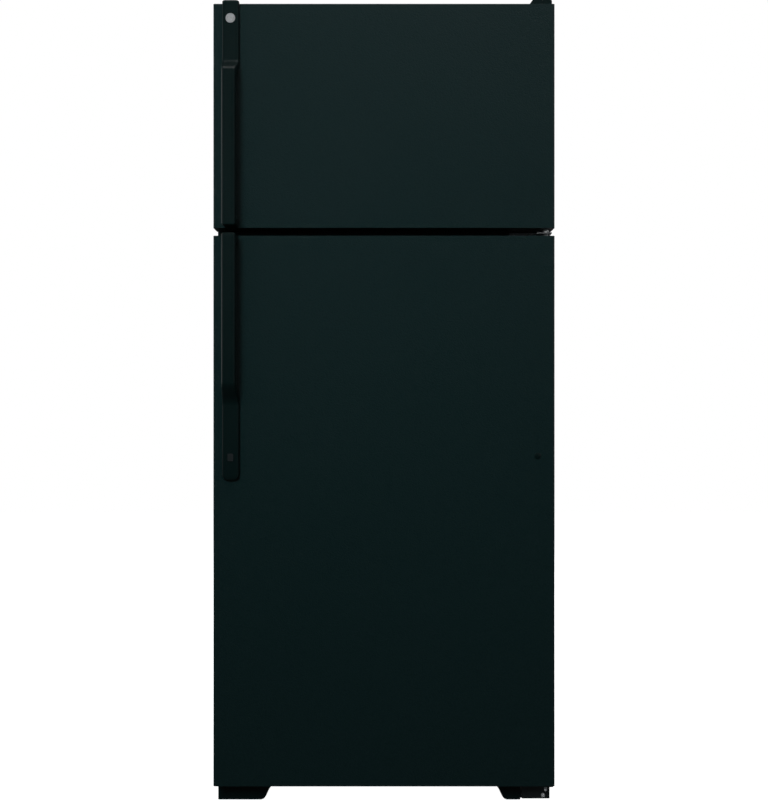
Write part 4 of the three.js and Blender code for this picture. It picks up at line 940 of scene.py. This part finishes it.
def liner_tub(name, node, shelves):
    """A compartment, vacuum formed in one: rounded corners, the step over the machine
    compartment where there is one, and ledges for the shelves."""
    low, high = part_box(node)
    inner_low = low + Vector((LINER, 0, LINER))
    inner_high = high - Vector((LINER, LINER, LINER))
    outline = [(low.y, inner_low.z)]
    if "crisper_cover" in shelves:
        step_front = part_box("crisper_left")[1].y + STEP_BEHIND_CRISPER
        step_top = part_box("crisper_cover")[0].z
        outline += [(step_front, inner_low.z), (step_front, step_top), (inner_high.y, step_top)]
    else:
        outline.append((inner_high.y, inner_low.z))
    outline += [(inner_high.y, inner_high.z), (low.y, inner_high.z)]
    bm = bmesh.new()
    left = [bm.verts.new((inner_low.x, y, z)) for y, z in outline]
    right = [bm.verts.new((inner_high.x, y, z)) for y, z in outline]
    count = len(outline)
    bm.faces.new(left)
    bm.faces.new(list(reversed(right)))
    for i in range(count):
        j = (i + 1) % count
        bm.faces.new((left[i], right[i], right[j], left[j]))
    bm.normal_update()
    at_front = [edge for edge in bm.edges if all(v.co.y < low.y + FRONT_EDGE for v in edge.verts)]
    rounded = [edge for edge in bm.edges if edge not in at_front]
    bmesh.ops.bevel(bm, geom=rounded, offset=TUB_ROUND, segments=5, affect="EDGES", profile=0.5)
    mouth = [face for face in bm.faces if all(v.co.y < low.y + FRONT_EDGE for v in face.verts)]
    bmesh.ops.delete(bm, geom=mouth, context="FACES")
    bmesh.ops.recalc_face_normals(bm, faces=bm.faces)
    bmesh.ops.solidify(bm, geom=bm.faces[:], thickness=-TUB_WALL)
    for shelf in shelves:
        shelf_low, shelf_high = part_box(shelf)
        top = shelf_low.z - LEDGE_GAP
        bottom = top - LEDGE_HEIGHT
        back = shelf_high.y if shelf != "crisper_cover" else step_front
        for side in (-1, 1):
            wall_x = side * (inner_high.x + 0.001)  # a little inside the wall
            ledge_x = side * (inner_high.x - LEDGE_DEPTH)
            left, right = sorted((wall_x, ledge_x))
            slab(bm, (left, shelf_low.y, bottom), (right, back, top), 0.0018, segments=3)
    for vert in bm.verts:
        for i in range(3):
            vert.co[i] = min(max(vert.co[i], low[i]), high[i])
    piece_from(name, bm, "cabinet", "white_plastic", [node])


BACK_SHEET = 0.00045  # thickness of the galvanised sheet
RIB_WIDTH = 0.014
RIB_INSET = 0.13
BACK_SCREW = 0.0036
BACK_SCREW_INSET = 0.008
JOINED = 0.0002  # how far one block of the sheet sinks into another


def back_sheet():
    """A thin galvanised sheet with pressed ribs, and low screws round its edge. Ribs and screws
    reach the outer face of the CAD panel and no further."""
    low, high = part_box("back_panel")
    face = low.y + BACK_SHEET
    rib_face = high.y - 0.00001
    sheet = bmesh.new()
    slab(sheet, low, (high.x, face, high.z), 0.0002)
    left, right = low.x + RIB_INSET, high.x - RIB_INSET
    bottom, top = low.z + RIB_INSET, high.z - RIB_INSET
    half = RIB_WIDTH / 2
    start = face - JOINED
    for x in (left, right):
        slab(sheet, (x - half, start, bottom), (x + half, rib_face, top), 0.0003)
    for z in (bottom, (bottom + top) / 2, top):
        slab(sheet, (left + half, start, z - half), (right - half, rib_face, z + half), 0.0003)
    piece_from("back_sheet", sheet, "cabinet", "zinc", ["back_panel"])
    places = []
    for i in range(6):
        z = low.z + 0.05 + (high.z - low.z - 0.1) * i / 5
        places += [(x, z) for x in (low.x + BACK_SCREW_INSET, high.x - BACK_SCREW_INSET)]
    for i in range(5):
        x = low.x + 0.06 + (high.x - low.x - 0.12) * i / 4
        places += [(x, z) for z in (low.z + BACK_SCREW_INSET, high.z - BACK_SCREW_INSET)]
    screws = bmesh.new()
    for x, z in places:
        hex_screw(screws, (x, face, z), ALONG_Y, BACK_SCREW, height=rib_face - face)
    piece_from("back_screws", screws, "cabinet", "bright_steel")


# The door hinges' axis: inwards from the side of the centre hinge, behind the freezer door's face.
PIVOT_INSET = 0.012
PIVOT_BEHIND = 0.0282
SCREW_X = 0.340  # the screws of the top hinge's cover and of the bottom hinge
FLANGE = 0.003  # thickness of the hinges' upright flanges
PIN_END = [(0.0026, 0), (0.0032, 0.0008), (0.0032, 0.0132)]
WASHER_RADIUS = 0.0065
WASHER_EDGE = 0.0060


def make_hinges():
    """The screws of the three hinges, the lower end of the bottom pin and the centre washer."""
    top_low, top_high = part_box("top_hinge_cover")
    centre_low, centre_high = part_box("center_hinge")
    bottom_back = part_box("bottom_hinge")[1].y
    fresh_low, fresh_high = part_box("fresh_door_skin")
    freezer_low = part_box("freezer_door_skin")[0]
    freezer_bottom = freezer_low.z
    middle_z = (fresh_high.z + freezer_bottom) / 2
    flange_front = centre_high.y - FLANGE
    pivot = (centre_high.x - PIVOT_INSET, freezer_low.y + PIVOT_BEHIND)
    plate = fresh_low.z - 0.005
    bm = bmesh.new()
    for inset in (0.044, 0.008):
        place = (centre_low.x + inset, flange_front, middle_z)
        pan_screw(bm, place, TO_FRONT, radius=0.0052, height=0.0032)
    place = (SCREW_X, bottom_back - FLANGE, 0.0115)
    pan_screw(bm, place, TO_FRONT, radius=0.0045, height=0.0028)
    turned_ring(bm, (*pivot, plate - 0.013), ALONG_Z, PIN_END, sides=24)
    place = (SCREW_X, top_low.y + 0.010, top_high.z - 0.0026)
    pan_screw(bm, place, ALONG_Z, radius=0.0042, height=0.0024)
    piece_from("hinge_screws", bm, "cabinet", "bright_steel")
    washer = bmesh.new()
    low = middle_z + 0.0018
    profile = [
        (WASHER_EDGE, 0),
        (WASHER_RADIUS, 0.0006),
        (WASHER_RADIUS, freezer_bottom - low - 0.0009),
        (WASHER_EDGE, freezer_bottom - low - 0.0003),
    ]
    turned_ring(washer, (*pivot, low), ALONG_Z, profile)
    piece_from("nylon_washer", washer, "cabinet", "white_plastic")


# ---------------------------------------------------------------------------------------------
# Inside
# ---------------------------------------------------------------------------------------------

SHELF_RIM = 0.014
SHELF_RIM_ROUND = 0.003
GLASS_LAP = 0.004  # of the glass into its rim


def glass_shelf(name, node):
    """A glass plate in a rounded moulded rim."""
    low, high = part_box(node)
    rim = SHELF_RIM
    plate = bmesh.new()
    slab(
        plate,
        (low.x + rim - GLASS_LAP, low.y + rim - GLASS_LAP, high.z - 0.0050),
        (high.x - rim + GLASS_LAP, high.y - rim + GLASS_LAP, high.z - 0.0012),
        0.0006,
    )
    piece_from(name + "_glass", plate, "cabinet", "glass", [node])
    bars = bmesh.new()
    slab(bars, low, (high.x, low.y + rim, high.z), SHELF_RIM_ROUND, segments=3)
    slab(bars, (low.x, high.y - rim, low.z), high, SHELF_RIM_ROUND, segments=3)
    start, end = low.y + rim * 0.6, high.y - rim * 0.6  # inside the bars at front and back
    for left, right in ((low.x, low.x + rim), (high.x - rim, high.x)):
        slab(
            bars,
            (left, start, low.z + 0.0002),
            (right, end, high.z - 0.0002),
            SHELF_RIM_ROUND,
            segments=3,
        )
    piece_from(name + "_rim", bars, "cabinet", "white_plastic")


RIM_WIRE = 0.0025  # radius
RUNNER = 0.0015  # radius
RUNNERS = 30


def wire_shelf():
    """The freezer's wire shelf: rim wires, cross wires and closely spaced runners."""
    low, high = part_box("freezer_shelf")
    thick, thin = RIM_WIRE, RUNNER
    z = low.z + thick
    runner_z = z + thick + thin * 0.8 - 0.0004
    bm = bmesh.new()
    for y in (low.y + thick, low.y + thick + 0.014, (low.y + high.y) / 2, high.y - thick):
        wire(bm, (low.x + 0.001, y, z), (high.x - 0.001, y, z), thick)
    for x in (low.x + thick, high.x - thick):
        wire(bm, (x, low.y, z), (x, high.y, z), thick)
    for i in range(RUNNERS):
        x = low.x + 0.012 + (high.x - low.x - 0.024) * i / (RUNNERS - 1)
        wire(bm, (x, low.y + 0.001, runner_z), (x, high.y - 0.001, runner_z), thin, sides=8)
    piece_from("wire_shelf", bm, "cabinet", "white_coating", ["freezer_shelf"])


GUARD_WIRE = 0.0014
GUARD_RINGS = 6
GUARD_SIDES = 40
GUARD_PAST_FAN = 0.006


def fan_guard():
    """The guard in front of the evaporator fan: rings on six spokes."""
    fan_low, fan_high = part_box("evaporator_fan")
    centre_x, centre_z = (fan_low.x + fan_high.x) / 2, (fan_low.z + fan_high.z) / 2
    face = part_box("evaporator_cover")[0].y
    reach = (fan_high.x - fan_low.x) / 2 + GUARD_PAST_FAN
    thick = GUARD_WIRE
    front, back = face - thick * 2, face - 0.0002
    bm = bmesh.new()
    for i in range(GUARD_RINGS):
        radius = reach * (i + 1) / GUARD_RINGS
        rings = []
        for y, grown in ((front, 0), (front, thick), (back, thick), (back, 0)):
            ring = []
            for k in range(GUARD_SIDES):
                angle = 2 * math.pi * k / GUARD_SIDES
                r = radius - grown
                x, z = centre_x + r * math.cos(angle), centre_z + r * math.sin(angle)
                ring.append(bm.verts.new((x, y, z)))
            rings.append(ring)
        bridge_round(bm, rings)
    for i in range(6):
        angle = math.pi * i / 3
        direction = Vector((math.cos(angle), 0, math.sin(angle)))
        start = Vector((centre_x, face - thick, centre_z)) + direction * reach * 0.12
        wire(bm, start, start + direction * reach * 0.86, thick * 0.7, sides=8)
    piece_from("evaporator_fan_guard", bm, "cabinet", "white_plastic")


MARKS = 10
MARK_CIRCLE = 0.0205  # radius
MARK_HALF = 0.0006
MARK_FACE = 0.0075  # behind the front of the control housing


def knob_marks():
    """Ten plain marks round each control."""
    bm = bmesh.new()
    for node in ("fresh_food_knob", "freezer_knob"):
        low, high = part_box(node)
        centre_x, centre_z = (low.x + high.x) / 2, (low.z + high.z) / 2
        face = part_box("control_housing")[0].y + MARK_FACE
        for i in range(MARKS):
            angle = math.radians(-45 + 30 * i)
            x = centre_x + MARK_CIRCLE * math.cos(angle)
            z = centre_z + MARK_CIRCLE * math.sin(angle)
            slab(
                bm,
                (x - MARK_HALF, face - 0.0003, z - MARK_HALF),
                (x + MARK_HALF, face + 0.0005, z + MARK_HALF),
                0.0002,
                segments=1,
            )
    piece_from("control_marks", bm, "cabinet", "grey_plastic")


THREAD_PITCH = 0.0024
THREADS = 9


def lamp_base():
    """The threaded metal base of the lamp."""
    low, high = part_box("lamp")
    middle = ((low.y + high.y) / 2, (low.z + high.z) / 2)
    bm = bmesh.new()
    profile = []
    for i in range(THREADS):
        profile += [(0.0102, 0.0005 + i * THREAD_PITCH), (0.0108, 0.0017 + i * THREAD_PITCH)]
    turned_ring(bm, (low.x, *middle), ALONG_X, profile, sides=28)
    piece_from("lamp_base", bm, "cabinet", "brass")


def make_inside():
    glass_shelf("upper_shelf", "shelf_upper")
    glass_shelf("lower_shelf", "shelf_lower")
    glass_shelf("crisper_top", "crisper_cover")
    wire_shelf()
    fan_guard()
    lamp_base()
    knob_marks()


# ---------------------------------------------------------------------------------------------
# CAD nodes that stay
# ---------------------------------------------------------------------------------------------

# Material, width of the softened edges, and segments across one edge.
KEPT_NODES = {
    "outer_case": ("case_paint", 0.0004, 2),
    "mullion_rail": ("case_paint", 0.0002, 2),
    "cabinet_foam": ("foam", 0, 0),
    "base_frame": ("zinc", 0.0003, 2),
    "base_grille": ("black_plastic", 0.0007, 3),
    "machine_tray": ("zinc", 0.0003, 2),
    "rear_cover": ("board", 0.0003, 2),
    "leg_left": ("grey_plastic", 0.0006, 3),
    "leg_right": ("grey_plastic", 0.0006, 3),
    "rear_roller_left": ("grey_plastic", 0.0006, 3),
    "rear_roller_right": ("grey_plastic", 0.0006, 3),
    "top_hinge": ("zinc", 0.0004, 3),
    "top_hinge_cover": ("black_plastic", 0.0012, 3),
    "center_hinge": ("zinc", 0.0004, 3),
    "bottom_hinge": ("flat_paint", 0.0004, 3),
    "compressor": ("flat_paint", 0.0015, 3),
    "condenser": ("flat_paint", 0, 0),
    "condenser_fan": ("grey_plastic", 0.0004, 2),
    "condenser_fan_motor": ("zinc", 0.0004, 2),
    "freezer_door_skin": ("door_paint", 0.0004, 2),
    "freezer_door_top_cap": ("black_plastic", 0.0004, 2),
    "freezer_door_bottom_cap": ("black_plastic", 0.0004, 2),
    "freezer_door_foam": ("foam", 0, 0),
    "fresh_door_skin": ("door_paint", 0.0004, 2),
    "fresh_door_top_cap": ("black_plastic", 0.0004, 2),
    "fresh_door_bottom_cap": ("black_plastic", 0.0004, 2),
    "fresh_door_foam": ("foam", 0, 0),
    "freezer_bin_lower": ("clear_plastic", 0.0008, 2),
    "freezer_bin_upper": ("clear_plastic", 0.0008, 2),
    "door_bin_lower": ("clear_plastic", 0.0008, 2),
    "door_bin_middle": ("clear_plastic", 0.0008, 2),
    "door_bin_upper": ("clear_plastic", 0.0008, 2),
    "dairy_cover": ("clear_plastic", 0.0008, 2),
    "handle_screw_cover": ("flat_paint", 0.0004, 3),
    "hole_plug": ("black_plastic", 0.0003, 3),
    "crisper_left": ("clear_plastic", 0.0010, 3),
    "crisper_right": ("clear_plastic", 0.0010, 3),
    "control_housing": ("white_plastic", 0.0010, 3),
    "fresh_food_knob": ("white_plastic", 0.0008, 3),
    "freezer_knob": ("white_plastic", 0.0008, 3),
    "light_switch_plunger": ("white_plastic", 0.0008, 3),
    "lamp": ("lamp_glass", 0.0006, 3),
    "evaporator": ("aluminium", 0, 0),
    "evaporator_cover": ("white_plastic", 0.0006, 3),
    "evaporator_fan": ("grey_plastic", 0.0004, 2),
    "evaporator_fan_motor": ("zinc", 0.0004, 2),
}

make_camera()
scene.view_settings.view_transform = "Standard"
make_world()
materials = make_materials()
make_floor()
make_lights()
for kept_node, finish in KEPT_NODES.items():
    finish_node(kept_node, *finish)
make_cabinet()
make_hinges()
make_doors()
make_handles()
make_inside()
